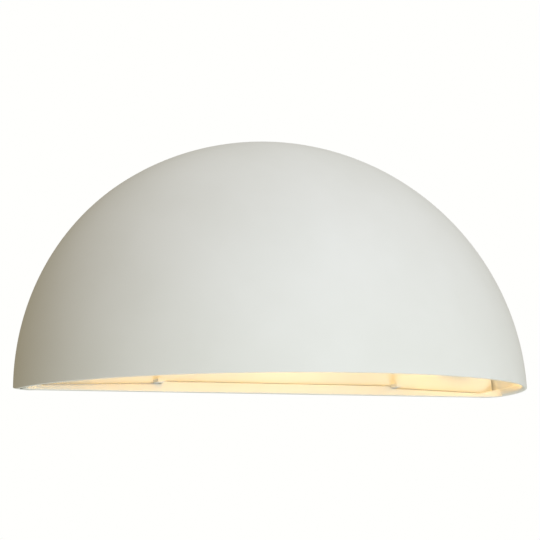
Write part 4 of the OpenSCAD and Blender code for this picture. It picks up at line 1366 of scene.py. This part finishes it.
@dataclass
class Studio:
    """Camera, soft light and pale floor round the light."""

    edge_z: float
    # The camera's place and turn come from the photographed outline: it stands at the left, a little below
    camera_at: Place = (-0.2888, -0.5184, -0.1328)
    yaw_deg: float = -28.954
    pitch_deg: float = 10.822
    roll_deg: float = -1.874
    focal_mm: float = 82.755
    floor_at: float = -1.3
    floor_half: float = 3.0
    disks: tuple[Disk, ...] = (
        Disk("soft_key", 10.0, 40.0, 1.6, 1.4, 18.8, "#E5EEFF"),
        Disk("soft_under", 0.0, -56.0, 1.0, 0.8, 6.1, "#E8F6FF"),
    )
    glints: tuple[Glint, ...] = (
        Glint("glint_left", -64.0, 60.0, 28.0, 0.05),
        Glint("glint_right", 86.0, 62.0, 20.0, 0.01),
        Glint("glint_end", 106.0, 40.0, 12.0, 0.019),
    )
    glint_radius: float = 5.0 * MM
    glint_colour: str = "#FFC874"
    ambient: float = 0.32
    ambient_colour: str = "#FFF0CC"
    backdrop: str = "#FFFFFD"

    def camera(self) -> None:
        """Places the camera: forward, right and up come from the yaw and pitch, and then turn by the roll."""
        yaw, pitch, roll = (math.radians(a) for a in (self.yaw_deg, self.pitch_deg, self.roll_deg))
        ahead = Vector((-math.sin(yaw) * math.cos(pitch), math.cos(yaw) * math.cos(pitch), math.sin(pitch)))
        right = ahead.cross(Vector((0, 0, 1))).normalized()
        up = right.cross(ahead)
        turned = math.cos(roll) * right + math.sin(roll) * up
        upright = math.cos(roll) * up - math.sin(roll) * right
        data = bpy.data.cameras.new("camera")
        data.lens = self.focal_mm
        data.clip_start = 0.01
        seen = put("camera", data)
        turn = Matrix((turned, upright, -ahead)).transposed().to_4x4()
        seen.matrix_world = Matrix.Translation(self.camera_at) @ turn
        bpy.context.scene.camera = seen

    def source(self, name: str, kind: str, watts: float, colour: str) -> bpy.types.Object:
        """Adds one light, which the camera doesn't see itself.

        Args:
            name: its name.
            kind: Blender's name of its type.
            watts: its power.
            colour: its colour, as a hex value.

        Returns:
            The light's object, at the origin.
        """
        data = bpy.data.lights.new(name, kind)
        data.energy = watts
        data.color = linear(colour)[:3]
        made = put(name, data)
        made.visible_camera = False
        return made

    def light(self) -> None:
        """Disks in front and below, warm glints in the shade's ends, and an even pale surround."""
        for disk in self.disks:
            turn, rise = math.radians(disk.right_deg), math.radians(disk.up_deg)
            level = math.cos(rise)
            way = Vector((math.sin(turn) * level, -math.cos(turn) * level, math.sin(rise)))
            made = self.source(disk.name, "AREA", disk.watts, disk.colour)
            made.data.shape = "DISK"
            made.data.size = disk.width
            made.location = way * disk.away + Vector((0, 0, self.edge_z))
            made.rotation_euler = way.to_track_quat("Z", "Y").to_euler()
        for glint in self.glints:
            made = self.source(glint.name, "POINT", glint.watts, self.glint_colour)
            made.data.shadow_soft_size = self.glint_radius
            made.location = (glint.x * MM, -glint.out * MM, self.edge_z + glint.height * MM)
        self.surround()

    def surround(self) -> None:
        """The even surround, which the camera itself sees as a white backdrop."""
        world = bpy.data.worlds.new("surround")
        world.use_nodes = True
        tree = world.node_tree
        tree.nodes.clear()
        lit, seen = (
            add_node(tree, "ShaderNodeBackground", inputs={"Color": linear(colour), "Strength": strength})
            for colour, strength in ((self.ambient_colour, self.ambient), (self.backdrop, 1.0))
        )
        to_camera = add_node(tree, "ShaderNodeLightPath").outputs["Is Camera Ray"]
        mix = add_node(tree, "ShaderNodeMixShader", inputs={
            0: to_camera, 1: lit.outputs[0], 2: seen.outputs[0]})
        add_node(tree, "ShaderNodeOutputWorld", inputs={"Surface": mix.outputs[0]})
        bpy.context.scene.world = world
        bpy.context.scene.view_settings.view_transform = "Standard"

    def floor(self) -> None:
        """A plain pale floor, a flat square well below the light."""
        half = self.floor_half
        corners_xy = ((-half, -half), (half, -half), (half, half), (-half, half))
        mesh = bpy.data.meshes.new("floor")
        mesh.from_pydata([(x, y, self.floor_at) for x, y in corners_xy], [], [(0, 1, 2, 3)])
        mesh.materials.append(PALE_FLOOR.material())
        put("floor", mesh)

    def build(self) -> None:
        """Sets the studio up."""
        self.camera()
        self.light()
        self.floor()


def main() -> None:
    """Builds the studio and every sub-assembly in order."""
    logging.basicConfig(level=logging.INFO, format="%(name)s: %(message)s")
    low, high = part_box("shade")
    Studio(low.z).build()
    axis = LampAxis()
    ShadeCasting(half_width=high.x, depth=-low.y, height=high.z - low.z, rim=low.z).build()
    for side in ("left", "right"):
        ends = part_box(f"{side}_knob")
        ClampScrew(side, (ends[0].x + ends[1].x) / 2, low.z).build()
    WallUnit(low.z).build()
    Lampholder(axis, low.z).build()
    Lamp(axis, low.z).build()
    Terminals(low.z).build()


if __name__ == "__main__":
    main()
